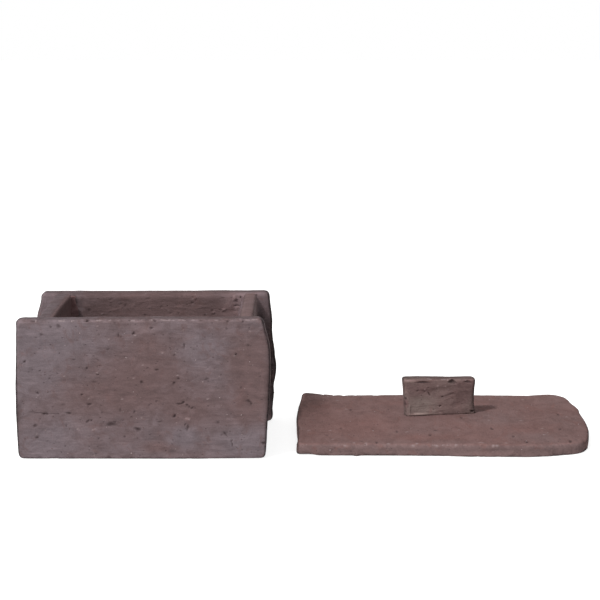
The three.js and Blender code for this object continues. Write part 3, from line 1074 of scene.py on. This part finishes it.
def raise_grains(mesh, facing, face_points, places, size=0.85, proud=0.2):
    """Sets pale grains into a face, each standing a little proud."""
    points = points_of(mesh)
    open_to = smooth_step(normals_of(mesh) @ facing, 0.1, 0.5)
    pale = read_tone(mesh, "speck")
    grains = [Mark(x, y, size * 1.3, size * 0.8, proud, 0.0) for x, y in places]
    for mark, shape in spots_on(face_points(points), grains, 0.1):
        points += np.outer(shape * open_to * mark.depth * MM, facing)
        pale = np.maximum(pale, shape * open_to * SPECK_TONE)
    set_points(mesh, points)
    paint_tone(mesh, "speck", pale)


# Places where the clay is drawn out or pushed in by hand, in millimetres

Pull = namedtuple("Pull", "x y z wide deep tall right back up")

FRONT_PULLS = [
    Pull(0, -54, 0, 130, 6, 5, 0, -0.9, -0.35), Pull(101, -48, 10, 14, 12, 44, -1.3, 0, 0),
    Pull(101, -48, 108, 10, 12, 18, -0.6, 0, 0), Pull(-101, -50, 115, 8, 12, 7, -0.4, 0, 0.9),
]
BACK_PULLS = [
    Pull(-98, 48, 110, 10, 14, 16, 1.2, 0, 0), Pull(-98, 48, 116, 7, 14, 6, -0.3, 0, 0.7),
    Pull(101, 48, 49, 12, 14, 12, 1, 0, 0), Pull(101, 48, 77, 12, 14, 16, -1.1, 0, 0),
    Pull(100, 48, 112, 12, 14, 20, -0.5, 0, 0), Pull(101, 48, 32, 12, 14, 9, -0.8, 0, 0),
    Pull(98, 48, 3, 12, 14, 9, 1, 0, 0),
]
LEFT_WALL_PULLS = [Pull(-69.75, 44, 115, 9, 115, 50, -2, 0, 0)]
LEFT_COIL_PULLS = [Pull(-68, 40, 112, 16, 20, 60, -3, 0, 0), Pull(-63, 36, 110, 12, 18, 26, 5, 0, 0)]
LID_PULLS = [
    Pull(124, -18, 8, 10, 30, 12, 1, 0, 0), Pull(126, 45, 8, 10, 36, 12, -0.8, 0, 0),
    Pull(290, -50, 1, 60, 6, 4, 0, -2.4, 0), Pull(270, 92, 10, 110, 16, 12, 0, 0.8, 0.5),
    Pull(354, 76, 8, 24, 26, 14, 5, 4.4, 0.4), Pull(368, 20, 8, 16, 70, 14, 1.2, 0, 0),
    Pull(131, -48, 0, 12, 10, 5, 0.8, 1.2, 0.6), Pull(172.5, -49, 1, 4, 5, 4, 0, -1.6, 0),
    Pull(374, 55, 8, 12, 16, 14, 1.5, 0.4, 0), Pull(366, 92, 8, 14, 12, 14, -2, -1.2, 0),
]
KNOB_PULLS = [
    Pull(226, 35, 43, 30, 22, 10, 0, 0, 0.8), Pull(279, 35, 30, 7, 22, 26, 0.7, 0, 0),
    Pull(214, 35, 43, 6, 22, 7, -0.2, 0, 0.1), Pull(280, 35, 6, 9, 22, 16, 1.8, 0, 0),
]


def pull(mesh, pulls):
    """Moves the clay around each place by its lengths to the right, to the back and up."""
    points = points_of(mesh) / MM
    for one in pulls:
        away = (points - (one.x, one.y, one.z)) / (one.wide, one.deep, one.tall)
        share = 1 - smooth_step(np.linalg.norm(away, axis=1), 0.25, 1.0)
        points += np.outer(share, (one.right, one.back, one.up))
    set_points(mesh, points * MM)


Patch = namedtuple("Patch", "x y across up tone")


# Broad patches where the fire left the clay greyer (above 0) or redder (below 0)

FRONT_PATCHES = [
    Patch(-72, 98, 62, 30, 1), Patch(-85, 74, 34, 34, 0.6), Patch(-10, 110, 80, 10, 0.1),
    Patch(50, 88, 28, 30, 0.6), Patch(78, 104, 40, 16, 0.1), Patch(78, 84, 22, 14, -0.4),
    Patch(-80, 12, 44, 24, 0.95), Patch(-20, 8, 50, 12, 0.3), Patch(33, 18, 18, 16, 0.8),
    Patch(82, 14, 32, 22, 0.8), Patch(0, 70, 46, 44, -1), Patch(-40, 50, 50, 26, -0.6),
    Patch(40, 42, 50, 24, -0.7), Patch(86, 66, 28, 54, -1), Patch(10, 10, 18, 8, -0.9),
    Patch(-95, 50, 10, 40, 0.4),
]
BACK_PATCHES = [Patch(6, 92, 92, 60, -1), Patch(-96, 90, 16, 60, 0.5), Patch(0, 40, 120, 60, -0.2)]
# The last patch reddens the left wall's inner face, which lies in shade: a painted colour of that shade
WALL_PATCHES = [Patch(84, 100, 14, 60, -0.8), Patch(-82, 110, 10, 40, 0.3), Patch(-69, 90, 7, 50, -1.6)]
# Reddens the coils at the left, where the back-left corner lies in shade: a painted colour of that shade
COIL_PATCHES = [Patch(-68, 60, 60, 200, -0.7)]
LID_PATCHES = [
    Patch(140, 50, 40, 50, -0.6), Patch(290, 20, 40, 30, 0.6), Patch(320, -30, 40, 18, 0.4),
    Patch(180, 0, 60, 40, -0.6), Patch(230, -30, 60, 14, -0.7), Patch(250, 66, 80, 12, -0.6),
    Patch(355, 10, 20, 40, 0.3), Patch(322, -6, 36, 24, -0.5),
]
KNOB_PATCHES = [
    Patch(-13.5, 30.4, 10, 1.8, -2), Patch(27, 30, 4, 2.5, -1.6), Patch(-29, 12, 4, 5, -2),
    Patch(-14, 9, 20, 13, 0.8), Patch(-20, 25, 20, 10, -0.7), Patch(22, 20, 20, 16, -0.4),
    Patch(24, 28, 12, 6, -0.8),
]


# Painted shade (below 0) and painted light (above 0) in patches, with some marks of the clay's own tone among
# them

# Light smears and dark marks of the clay's own tone; painted shade down both ends; pale bits along the top
# edge, partly rubbing and partly a painted highlight; painted highlights down the right edge
FRONT_SHADES = [
    Patch(-61.5, 18, 8, 1.4, 0.25), Patch(-20, 13.6, 9, 1.2, 0.25), Patch(11, 11.8, 5, 1.2, 0.22),
    Patch(-53, 5, 7, 1.2, 0.22), Patch(36, 33.5, 3.2, 1.3, 0.31), Patch(-51.5, 24.6, 2.2, 2, 0.22),
    Patch(-39, 24.9, 3, 1.8, 0.22), Patch(65.5, 100.6, 4, 1.2, 0.22), Patch(61, 81.8, 5, 1.1, 0.25),
    Patch(43.4, 94, 5, 1.1, 0.19), Patch(17, 89.2, 2.6, 1.2, 0.28), Patch(87.2, 106.2, 2.2, 1.2, 0.22),
    Patch(-40, 52.6, 2.4, 1.6, 0.19), Patch(8, 61, 10, 1.2, 0.12), Patch(-18.8, 33.4, 6, 4.5, -0.19),
    Patch(22.6, 6.8, 5, 2.4, -0.28), Patch(78, 70.5, 6, 5, -0.16), Patch(85.4, 95.2, 2.6, 2.4, -0.16),
    Patch(-25, 30, 8, 3.4, -0.19), Patch(-78, 90, 12, 1.2, 0.12), Patch(-58, 78, 9, 1.3, 0.14),
    Patch(-88, 64, 7, 1.3, 0.16), Patch(-30, 96, 8, 1.2, 0.12), Patch(70, 30, 10, 1.4, 0.16),
    Patch(98.8, 110, 0.9, 5, 0.35), Patch(100.2, 101, 0.8, 5, 0.4), Patch(-101, 62, 3.4, 110, -0.28),
    Patch(-101.6, 60, 2.8, 160, -0.4), Patch(-100.2, 88, 2.4, 60, -0.45), Patch(101.5, 42, 5.5, 78, -0.32),
    Patch(-98.5, 40, 4.5, 14, -0.2), Patch(-62, 108, 46, 9, 0.12), Patch(2, 108, 16, 6, 0.22),
    Patch(91, 108, 10, 10, -0.08), Patch(48, 20, 6, 1.2, 0.16), Patch(-86, 104, 8, 1.2, 0.16),
    Patch(30, 72, 4, 2, -0.16), Patch(-70, 52, 10, 1.4, -0.12), Patch(60, 31.5, 3.4, 2.6, -0.22),
    Patch(65.8, 23, 4.2, 2.2, -0.24), Patch(35.6, 34.2, 4.6, 1.3, 0.4), Patch(53.1, 51, 2.4, 1.1, 0.3),
    Patch(63, 9.5, 10, 3.4, 0.16), Patch(74.8, 12, 3.4, 1.2, 0.2), Patch(6.1, 94, 0.9, 8, -0.16),
    Patch(-0.5, 114, 8, 1, 0.3), Patch(-43, 113.4, 4, 0.9, 0.35), Patch(-36.5, 114.5, 4.4, 0.9, 0.3),
    Patch(-26, 114, 5.4, 0.9, 0.3), Patch(-92, 113.4, 7, 0.9, 0.3), Patch(-76, 112.6, 6, 0.9, 0.25),
    Patch(-86, 5, 12, 1.1, 0.25), Patch(-72, 9, 9, 1.2, 0.24), Patch(-66, 16, 9, 1.1, 0.2),
    Patch(-84, 15, 5, 1, 0.18), Patch(48, 113.6, 6, 0.9, 0.25), Patch(84, 112.8, 4, 0.9, 0.22),
    Patch(-33, 30.5, 5, 3.6, -0.16), Patch(-78, 98, 8, 3, -0.08), Patch(24, 100, 3, 12, -0.1),
    Patch(-30, 88, 10, 3, -0.1), Patch(4, 57, 14, 3, -0.08), Patch(-60, 90, 16, 2, 0.1),
    Patch(52, 76, 12, 1.6, 0.12), Patch(60, 58, 14, 1.5, 0.1), Patch(-52, 62, 12, 1.5, 0.1),
]
# Painted light on the inner face, strongest at its right end, and on the left overhang; painted shade in the
# right recess and in the back-left corner; a few small dark marks
BACK_SHADES = [
    Patch(10, 92, 110, 34, 0.5), Patch(76, 104, 26, 26, 0.85), Patch(38, 100, 5, 6, -0.1),
    Patch(-26, 109.5, 13, 4, -0.14), Patch(-60, 105, 7, 9, 0.1), Patch(100, 56, 14, 68, -0.85),
    Patch(91, 97, 6.5, 19, -0.75), Patch(-92, 104, 12, 40, 0.24), Patch(-69, 109.5, 4.2, 8, -0.7),
]
# Painted light on the shaded inner face of the left wall
LEFT_WALL_SHADES = [Patch(-71, 97, 8, 40, 1)]
# Painted light on the right wall's rim, and painted shade on its outer face in the recess
RIGHT_WALL_SHADES = [Patch(84, 115, 12, 8, 0.36), Patch(92, 60, 5, 76, -0.55)]
# Painted light on the coils in the left and right corners
COIL_SHADES = [Patch(-68, 80, 20, 80, 0.36), Patch(74, 100, 20, 40, 0.4)]
# Painted shade along the left edge and on the right part of the front edge; a painted shadow of the box over
# the back-left corner; small painted lighter and darker patches on the top
LID_SHADES = [
    Patch(124.5, 36, 4.5, 36, -0.5), Patch(124.5, -20, 2.8, 44, -0.2), Patch(142, -22, 30, 30, 0.08),
    Patch(176, -10, 40, 40, 0.04), Patch(330, -52, 110, 9, -0.09), Patch(126, 76, 40, 74, -0.48),
    Patch(230, 0, 150, 80, 0.08), Patch(206, 16, 12, 12, -0.12), Patch(262, -6, 18, 6, -0.05),
    Patch(340, 20, 50, 80, -0.06),
]
# Painted light on the lower part, painted shade at both ends and along the top; light grains, a pale line at
# the foot, a dark streak and dark notches
KNOB_SHADES = [
    Patch(0, 14, 60, 30, 0.1), Patch(-14, 6, 26, 16, 0.34), Patch(12, 6, 30, 12, 0.26),
    Patch(26, 26, 12, 12, -0.1), Patch(0, 30.5, 34, 5, -0.06), Patch(31.5, 14, 4, 26, -0.26),
    Patch(-32, 14, 3, 26, -0.2), Patch(-25, 31.8, 9, 1.8, 0.6), Patch(-13.5, 30.2, 10, 1.3, -0.34),
    Patch(-12.2, 24, 1.6, 1.3, 0.6), Patch(-1.3, 27, 1.9, 1.3, 0.4), Patch(4.9, 26.3, 1.7, 1.2, 0.35),
    Patch(27, 31.5, 3.4, 1.4, 0.3), Patch(-19, 2.4, 11, 1.5, 0.9), Patch(2.4, 2.2, 2.6, 1.3, 0.8),
    Patch(-29.5, 16.5, 2.6, 1.6, -0.5), Patch(-29, 11.5, 2.8, 2.2, -0.45), Patch(30.4, 2.6, 2.6, 1.6, -0.5),
]

# Painted shade on the rims, which face up, and along a slab's two ends
RIM_SHADE = -0.24
END_SHADE = -0.3
# The darkest that the patches and these tones may add up to
DARKEST_TONE = -0.6
# How far the narrow bands along a slab's ends reach in, in millimetres
END_BAND = (0.5, 2.4)
# The height of the slices in which a slab's ends are looked for
SLICE = 1.6 * MM

# Spacing of the knots of the pale line's breaks, and where below the top it starts and is full, in
# millimetres
PALE_LINE_KNOTS = 3.1
PALE_LINE_BAND = (7, 4)


def patch_shape(points, patch):
    """A patch's shape on the face, from 1 at its middle to 0 at its rim. The points are in millimetres."""
    away = np.hypot((points[:, 0] - patch.x) / patch.across, (points[:, 1] - patch.y) / patch.up)
    return 1 - smooth_step(away, 0.1, 1.0)


def paint_bloom(mesh, face_points, patches, front=0.0):
    """Paints the firing patches, and a tone for all that faces the front."""
    points = face_points(points_of(mesh)) / MM
    bloom = front * smooth_step(normals_of(mesh) @ FRONT, 0.5, 0.9)
    for patch in patches:
        bloom += patch.tone * patch_shape(points, patch)
    paint_tone(mesh, "bloom", bloom)


def near_the_ends(points):
    """Marks a narrow band, along either end of an upright or a lying slab, by 1 at the end and 0 inwards."""
    size = points.max(axis=0) - points.min(axis=0)
    across = 2 if size[2] > size[1] else 1
    slices = ((points[:, across] - points[:, across].min()) / SLICE).astype(int)
    count = slices.max() + 1
    left = np.full(count, np.inf)
    right = np.full(count, -np.inf)
    np.minimum.at(left, slices, points[:, 0])
    np.maximum.at(right, slices, points[:, 0])
    distance = np.minimum(points[:, 0] - left[slices], right[slices] - points[:, 0])
    return 1 - smooth_step(distance / MM, *END_BAND)


def paint_shade(mesh, face_points, patches, up=0.0, ends=0.0, facing=None):
    """Paints the shade tone: painted shade and light in patches, among some marks of the clay's own tone, a
    painted tone on what faces up (shade on the box and the knob, light on the lid), and painted shade along
    the ends.
    """
    points = face_points(points_of(mesh)) / MM
    normals = normals_of(mesh)
    open_to = 1.0 if facing is None else smooth_step(normals @ facing, 0.1, 0.6)
    corner = near_the_ends(points_of(mesh)) * (1 - smooth_step(np.abs(normals[:, 0]), 0.86, 1.0))
    shade = up * smooth_step(normals[:, 2], 0.45, 0.9) + ends * corner
    for patch in patches:
        shade += patch.tone * open_to * patch_shape(points, patch)
    paint_tone(mesh, "shade", np.maximum(shade, DARKEST_TONE))


def paint_rubbing_and_highlight_line(mesh, crest, seed, amount):
    """Paints a pale, broken line on an upper edge, which looks along crest: partly rubbing from handling,
    partly a painted highlight.
    """
    random = np.random.default_rng(seed)
    points = points_of(mesh) / MM
    knots = np.arange(points[:, 0].min() - 5, points[:, 0].max() + 5, PALE_LINE_KNOTS)
    broken = smooth_step(np.interp(points[:, 0], knots, random.random(len(knots))), 0.25, 0.85)
    on_crest = np.clip((normals_of(mesh) @ np.array(Vector(crest).normalized()) - 0.88) / 0.12, 0, 1)
    start, full = (points[:, 2].max() - below for below in PALE_LINE_BAND)
    upper = smooth_step(points[:, 2], start, full)
    paint_tone(mesh, "rubbing_and_highlight", on_crest * upper * (0.25 + 0.75 * broken) * amount)


def paint_edges(mesh):
    """Keeps the pale edge tone, partly rubbing and partly a painted highlight, to edges that face up or
    forwards, and turns those that face away into painted shade.
    """
    normals = normals_of(mesh)
    away = smooth_step(np.abs(normals[:, 0]), 0.25, 0.8) + smooth_step(normals[:, 1], 0.2, 0.8)
    away += 0.7 * smooth_step(-normals[:, 2], 0.1, 0.6)
    edge = read_tone(mesh, "edge")
    paint_tone(mesh, "edge", np.where(edge > 0, edge * (1 - 1.8 * np.clip(away, 0, 1)), edge))


def paint_open(mesh, node):
    """Paints where the clay is open to the air, and not against a neighbour or the table."""
    points = points_of(mesh) + normals_of(mesh) * 1.5 * MM
    hidden = points[:, 2] < 0.5 * MM
    for other in frame["nodes"]:
        if other == node:
            continue
        low, high = (np.array(corner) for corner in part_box(other))
        hidden |= np.all((points > low) & (points < high), axis=1)
    paint_tone(mesh, "open", np.where(hidden, 0.0, 1.0))


# Pieces

# How far a step of the seed moves the random marks
SEED_STEP = 0.37
# How far below the back slab's rim the back corner coils end
COILS_BELOW_RIM = 2.6 * MM
# How dark the painted shade in the pressed marks is
PIT_DARKNESS = 0.9
NICK_DARKNESS = 0.8
INNER_DARKNESS = 0.32
LID_BACK_DARKNESS = 0.4


def work_clay(node, slot, grid, stretch, shift, changed=None):
    """A solid's clay piece: remeshed, worked over and frozen."""
    surface = bpy.context.scene.stoneware_surface
    tree = bpy.data.node_groups.get("Worked clay") or worked_clay_tree()
    form = remesh(clay_copy(node + "_clay", node), grid)
    values = {
        "Grid": grid,
        "Fullness": surface.fullness,
        "Waviness": surface.waviness,
        "Wiping": surface.wiping,
        "Wiping Stretch": stretch,
        "Pit Depth": surface.pit_depth,
        "Chip Depth": surface.chip_depth,
        "Shift": [part + surface.seed * SEED_STEP for part in shift],
        "Material": material_for(slot),
    }
    values.update(changed or {})
    use_tree(form, tree, values)
    return freeze(form)


def finish_piece(form, node):
    """Finishes a piece's painted tones, ties it to its body and hides its solid."""
    keep_above_ground(form.data)
    paint_open(form.data, node)
    paint_edges(form.data)
    body = next(name for name, nodes in BODIES.items() if node in nodes)
    collection_for(body).objects.link(form)
    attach(form, body)
    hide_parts(node)


class STONEWARE_OT_front_slab(bpy.types.Operator):
    """Work the front slab, with the marks that it carries."""

    bl_idname = "stoneware.front_slab"
    bl_label = "Front Slab"

    def execute(self, context):
        grid = context.scene.stoneware_surface.slab_grid
        form = work_clay("front_slab", "box_clay", grid, ALONG_BOX, (0.0, 0.0, 0.0))
        pull(form.data, FRONT_PULLS)
        press(form.data, FRONT, front_face, FRONT_DENTS)
        press(form.data, FRONT, front_face, FRONT_PITS, PIT_DARKNESS)
        press(form.data, FRONT, front_face, FRONT_RIM_NICKS, NICK_DARKNESS, -FRONT - TOP)
        raise_grains(form.data, FRONT, front_face, FRONT_GRAINS)
        paint_rubbing_and_highlight_line(form.data, crest=(0, -0.75, 0.66), seed=3, amount=1.05)
        paint_bloom(form.data, front_face, FRONT_PATCHES)
        paint_shade(form.data, front_face, FRONT_SHADES, up=RIM_SHADE, ends=1.1 * END_SHADE, facing=FRONT)
        finish_piece(form, "front_slab")
        return {"FINISHED"}


class STONEWARE_OT_back_slab(bpy.types.Operator):
    """Work the back slab."""

    bl_idname = "stoneware.back_slab"
    bl_label = "Back Slab"

    def execute(self, context):
        grid = context.scene.stoneware_surface.slab_grid
        form = work_clay("back_slab", "box_clay", grid, ALONG_BOX, (0.5, 0.2, 0.9))
        pull(form.data, BACK_PULLS)
        press(form.data, FRONT, front_face, BACK_RIDGES)
        press(form.data, FRONT, front_face, BACK_MARKS, INNER_DARKNESS)
        raise_grains(form.data, FRONT, front_face, BACK_GRAINS)
        strewn = scattered((-97, 6), (97, 110), count=46, seed=12)
        press(form.data, -FRONT, front_face, strewn, NICK_DARKNESS)
        paint_bloom(form.data, front_face, BACK_PATCHES)
        paint_shade(form.data, front_face, BACK_SHADES, up=RIM_SHADE, ends=END_SHADE, facing=FRONT)
        finish_piece(form, "back_slab")
        return {"FINISHED"}


class STONEWARE_OT_side_walls(bpy.types.Operator):
    """Work the two side walls, which are let a little into the front and back slabs."""

    bl_idname = "stoneware.side_walls"
    bl_label = "Side Walls"

    let_in: FloatProperty(
        name="Let In",
        description="How far each end of a wall reaches into its slab",
        default=2.5 * MM,
        unit="LENGTH",
        precision=4,
    )

    def execute(self, context):
        grid = context.scene.stoneware_surface.slab_grid
        for node, shift in (("left_wall", (0.2, 0.8, 0.4)), ("right_wall", (0.6, 0.3, 0.1))):
            form = work_clay(node, "box_clay", grid, ALONG_WALL, shift, {"Wiping": 0.08 * MM})
            low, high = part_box(node)
            middle = (low.y + high.y) / 2
            points = points_of(form.data)
            points[:, 1] = middle + (points[:, 1] - middle) * (1 + 2 * self.let_in / (high.y - low.y))
            set_points(form.data, points)
            outwards = -RIGHT if node == "left_wall" else RIGHT
            strewn = scattered((-38, 16), (38, 108), count=18, seed=21)
            press(form.data, outwards, side_face, strewn, NICK_DARKNESS)
            paint_bloom(form.data, front_face, WALL_PATCHES)
            if node == "left_wall":
                pull(form.data, LEFT_WALL_PULLS)
                paint_shade(form.data, front_face, LEFT_WALL_SHADES, up=RIM_SHADE, facing=RIGHT)
            else:
                paint_shade(form.data, front_face, RIGHT_WALL_SHADES, up=RIM_SHADE)
            finish_piece(form, node)
        return {"FINISHED"}


class STONEWARE_OT_floor_slab(bpy.types.Operator):
    """Work the floor slab."""

    bl_idname = "stoneware.floor_slab"
    bl_label = "Floor Slab"

    def execute(self, context):
        grid = context.scene.stoneware_surface.lid_grid
        form = work_clay("floor_slab", "box_clay", grid, ALONG_BOX, (0.9, 0.1, 0.3))
        finish_piece(form, "floor_slab")
        return {"FINISHED"}


def smear_up(mesh, top):
    """Draws the upper half of an upright roll of clay up to a height."""
    points = points_of(mesh)
    low = points[:, 2].min()
    high = points[:, 2].max()
    share = np.clip((points[:, 2] - low) / (high - low) * 2 - 1, 0, 1)
    points[:, 2] += share * (top - high)
    set_points(mesh, points)


class STONEWARE_OT_seam_coils(bpy.types.Operator):
    """Work the rolls of clay pressed into the inner corners."""

    bl_idname = "stoneware.seam_coils"
    bl_label = "Seam Coils"

    def execute(self, context):
        grid = context.scene.stoneware_surface.small_grid
        pressed = {"Waviness": 0.5 * MM, "Wave Length": 9 * MM, "Softening": 1}
        nodes = [node for node in frame["nodes"] if "_coil_" in node]
        for number, node in enumerate(sorted(nodes)):
            shift = (0.11 * number, 0.23 * number, 0.31 * number)
            form = work_clay(node, "seam_clay", grid, UPRIGHT, shift, pressed)
            if node.startswith("corner_coil_back_"):
                smear_up(form.data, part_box("back_slab")[1].z - COILS_BELOW_RIM)
            if node == "corner_coil_back_left":
                pull(form.data, LEFT_COIL_PULLS)
            paint_bloom(form.data, front_face, COIL_PATCHES)
            paint_shade(form.data, front_face, COIL_SHADES)
            finish_piece(form, node)
        return {"FINISHED"}


class STONEWARE_OT_lid_slab(bpy.types.Operator):
    """Work the lid's slab, with the marks that it carries."""

    bl_idname = "stoneware.lid_slab"
    bl_label = "Lid Slab"

    def execute(self, context):
        grid = context.scene.stoneware_surface.lid_grid
        form = work_clay("lid_slab", "lid_clay", grid, ALONG_BOX, (0.4, 0.6, 0.2), {"Waviness": 0.55 * MM})
        long_pits = [mark._replace(up=mark.up * LID_PIT_LENGTH) for mark in LID_PITS]
        pull(form.data, LID_PULLS)
        press(form.data, TOP, top_face, LID_DENTS)
        press(form.data, TOP, top_face, long_pits, PIT_DARKNESS)
        press(form.data, TOP, top_face, LID_BACK_NICKS, LID_BACK_DARKNESS)
        press(form.data, FRONT, front_face, LID_FOOT_MARKS, NICK_DARKNESS)
        raise_grains(form.data, TOP, top_face, LID_GRAINS, size=1.4, proud=0.5)
        paint_rubbing_and_highlight_line(form.data, crest=(0, -0.7, 0.72), seed=8, amount=0.85)
        paint_bloom(form.data, top_face, LID_PATCHES, front=0.8)
        # Painted light on the lid's top, painted shade along its ends and its shade patches
        paint_shade(form.data, top_face, LID_SHADES, up=0.06, ends=0.4 * END_SHADE)
        finish_piece(form, "lid_slab")
        return {"FINISHED"}


class STONEWARE_OT_lid_knob(bpy.types.Operator):
    """Work the knob, with the marks that it carries."""

    bl_idname = "stoneware.lid_knob"
    bl_label = "Lid Knob"

    def execute(self, context):
        grid = context.scene.stoneware_surface.small_grid
        pinched = {"Waviness": 0.5 * MM, "Wave Length": 16 * MM, "Wiping": 0.14 * MM}
        form = work_clay("lid_knob", "knob_clay", grid, ALONG_BOX, (0.7, 0.7, 0.7), pinched)
        low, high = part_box("lid_knob")
        foot = np.array(((low.x + high.x) / 2, low.z))

        def knob_face(points):
            return front_face(points) - foot

        pull(form.data, KNOB_PULLS)
        press(form.data, FRONT, knob_face, KNOB_DENTS + KNOB_RIDGES)
        press(form.data, FRONT, knob_face, KNOB_MARKS, NICK_DARKNESS)
        raise_grains(form.data, FRONT, knob_face, KNOB_GRAINS, size=0.8)
        paint_rubbing_and_highlight_line(form.data, crest=(0, -0.6, 0.8), seed=5, amount=0.9)
        paint_bloom(form.data, knob_face, KNOB_PATCHES)
        # Painted shade on the knob's top and along its ends, with its painted light and shade patches
        paint_shade(form.data, knob_face, KNOB_SHADES, up=-0.34, ends=0.5 * END_SHADE, facing=FRONT)
        finish_piece(form, "lid_knob")
        return {"FINISHED"}


class STONEWARE_OT_grog(bpy.types.Operator):
    """Scatter grog grains over the clay, one piece to each body."""

    bl_idname = "stoneware.grog"
    bl_label = "Grog"

    def execute(self, context):
        surface = context.scene.stoneware_surface
        material = grog_material()
        tree = grog_tree()
        for number, (body, nodes) in enumerate(BODIES.items()):
            work = bmesh.new()
            for node in nodes:
                work.from_mesh(bpy.data.objects[node + "_clay"].data)
            mesh = bpy.data.meshes.new(body + "_grog")
            work.to_mesh(mesh)
            work.free()
            form = new_object(body + "_grog", mesh)
            use_tree(form, tree, {
                "Density": surface.grains_per_area,
                "Radius": surface.grain_radius,
                "Seed": surface.seed + number,
                "Material": material,
            })
            freeze(form)
            keep_above_ground(form.data)
            collection_for(body).objects.link(form)
            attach(form, body)
        return {"FINISHED"}


# Stage

FLOOR_HALF = 15.0
# Where the room's extra light from the front and the left comes from
FRONT_LIGHT_FROM = (-0.5, -0.75, 0.43)
# The room's strength at the left and at the right, beside its strength in the middle
LEFT_SHARE = 1.7
RIGHT_SHARE = 0.3


def key_light(name, direction):
    stage = bpy.context.scene.stoneware_stage
    key = new_object(name, bpy.data.lights.new(name, "SUN"))
    key.data.energy = stage.key_strength
    key.data.angle = stage.key_angle
    key.rotation_euler = Vector(direction).to_track_quat("-Z", "Y").to_euler()
    return key


def studio(stage):
    """A room with light from overhead and from the front and the left, which the camera sees as white."""
    world = bpy.data.worlds.new("Studio")
    world.use_nodes = True
    tree = world.node_tree
    tree.nodes.clear()
    towards = add(tree, "ShaderNodeTexCoord").outputs["Generated"]
    sideways = part_of(tree, towards, 0)
    upwards = part_of(tree, towards, 2)
    frontwards = dot(tree, towards, FRONT_LIGHT_FROM)
    sky = ramp(tree, upwards, -0.1, 0.9, 0.0, stage.sky_strength)
    front = ramp(tree, frontwards, 0.0, 1.0, 0.0, stage.front_strength)
    left = stage.room_strength * LEFT_SHARE
    right = stage.room_strength * RIGHT_SHARE
    room = ramp(tree, sideways, -0.8, 0.8, left, right)
    light = plus(tree, plus(tree, sky, front), room)
    seen = add(tree, "ShaderNodeLightPath").outputs["Is Camera Ray"]
    strength = calculate(tree, "MAXIMUM", seen, light)
    background = add(tree, "ShaderNodeBackground", {"Color": (1.0, 1.0, 1.0, 1.0), "Strength": strength})
    add(tree, "ShaderNodeOutputWorld", {0: background.outputs[0]})
    return world


class STONEWARE_OT_stage(bpy.types.Operator):
    """Set the camera, the light and the floor."""

    bl_idname = "stoneware.stage"
    bl_label = "Stage"

    def execute(self, context):
        stage = context.scene.stoneware_stage
        context.scene.view_settings.view_transform = "Standard"
        context.scene.world = studio(stage)

        camera = new_object("Camera", bpy.data.cameras.new("Camera"))
        camera.data.sensor_width = 36.0
        camera.data.lens = stage.lens
        camera.data.clip_start = 0.01
        camera.data.clip_end = 100.0
        camera.location = stage.camera_place
        camera.rotation_euler = Euler((math.radians(90) - stage.camera_pitch, 0.0, stage.camera_turn))
        context.scene.camera = camera

        box_light = bpy.data.collections.new("Lit by the box key")
        box_light.children.link(collection_for("box"))
        key_light("Box key", stage.box_key_direction).light_linking.receiver_collection = box_light
        lid_key = key_light("Lid key", stage.lid_key_direction)
        lid_key.light_linking.receiver_collection = collection_for("lid")
        lid_key.light_linking.blocker_collection = collection_for("lid")

        mesh = bpy.data.meshes.new("Floor")
        corners = [(-1, -1), (1, -1), (1, 1), (-1, 1)]
        mesh.from_pydata([(x * FLOOR_HALF, y * FLOOR_HALF, 0) for x, y in corners], [], [(0, 1, 2, 3)])
        floor = new_object("Floor", mesh)
        paper = new_material("Paper")
        finish_material(paper.node_tree, {
            "Base Color": (0.4, 0.4, 0.4, 1.0),
            "Roughness": 0.95,
            "Emission Color": (1.0, 1.0, 1.0, 1.0),
            "Emission Strength": stage.paper_glow,
        })
        mesh.materials.append(paper)
        box_light.objects.link(floor)
        return {"FINISHED"}


PIECE_OPERATORS = (
    STONEWARE_OT_front_slab,
    STONEWARE_OT_back_slab,
    STONEWARE_OT_side_walls,
    STONEWARE_OT_floor_slab,
    STONEWARE_OT_seam_coils,
    STONEWARE_OT_lid_slab,
    STONEWARE_OT_lid_knob,
    STONEWARE_OT_grog,
)


class STONEWARE_PT_panel(bpy.types.Panel):
    """Lists the stage and the pieces."""

    bl_label = "Stoneware Box"
    bl_idname = "STONEWARE_PT_panel"
    bl_space_type = "VIEW_3D"
    bl_region_type = "UI"
    bl_category = "Stoneware"

    def draw(self, context):
        for operator in (STONEWARE_OT_stage, *PIECE_OPERATORS):
            self.layout.operator(operator.bl_idname)


SETTINGS = {
    "stoneware_surface": ClaySurfaceSettings,
    "stoneware_colours": ClayColourSettings,
    "stoneware_stage": StageSettings,
}
CLASSES = (*SETTINGS.values(), STONEWARE_OT_stage, *PIECE_OPERATORS, STONEWARE_PT_panel)


def register():
    for made in CLASSES:
        bpy.utils.register_class(made)
    for name, group in SETTINGS.items():
        setattr(bpy.types.Scene, name, PointerProperty(type=group))


def unregister():
    for name in SETTINGS:
        delattr(bpy.types.Scene, name)
    for made in reversed(CLASSES):
        bpy.utils.unregister_class(made)


def main():
    register()
    bpy.ops.stoneware.stage()
    bpy.ops.stoneware.front_slab()
    bpy.ops.stoneware.back_slab()
    bpy.ops.stoneware.side_walls()
    bpy.ops.stoneware.floor_slab()
    bpy.ops.stoneware.seam_coils()
    bpy.ops.stoneware.lid_slab()
    bpy.ops.stoneware.lid_knob()
    bpy.ops.stoneware.grog()


if __name__ == "__main__":
    main()
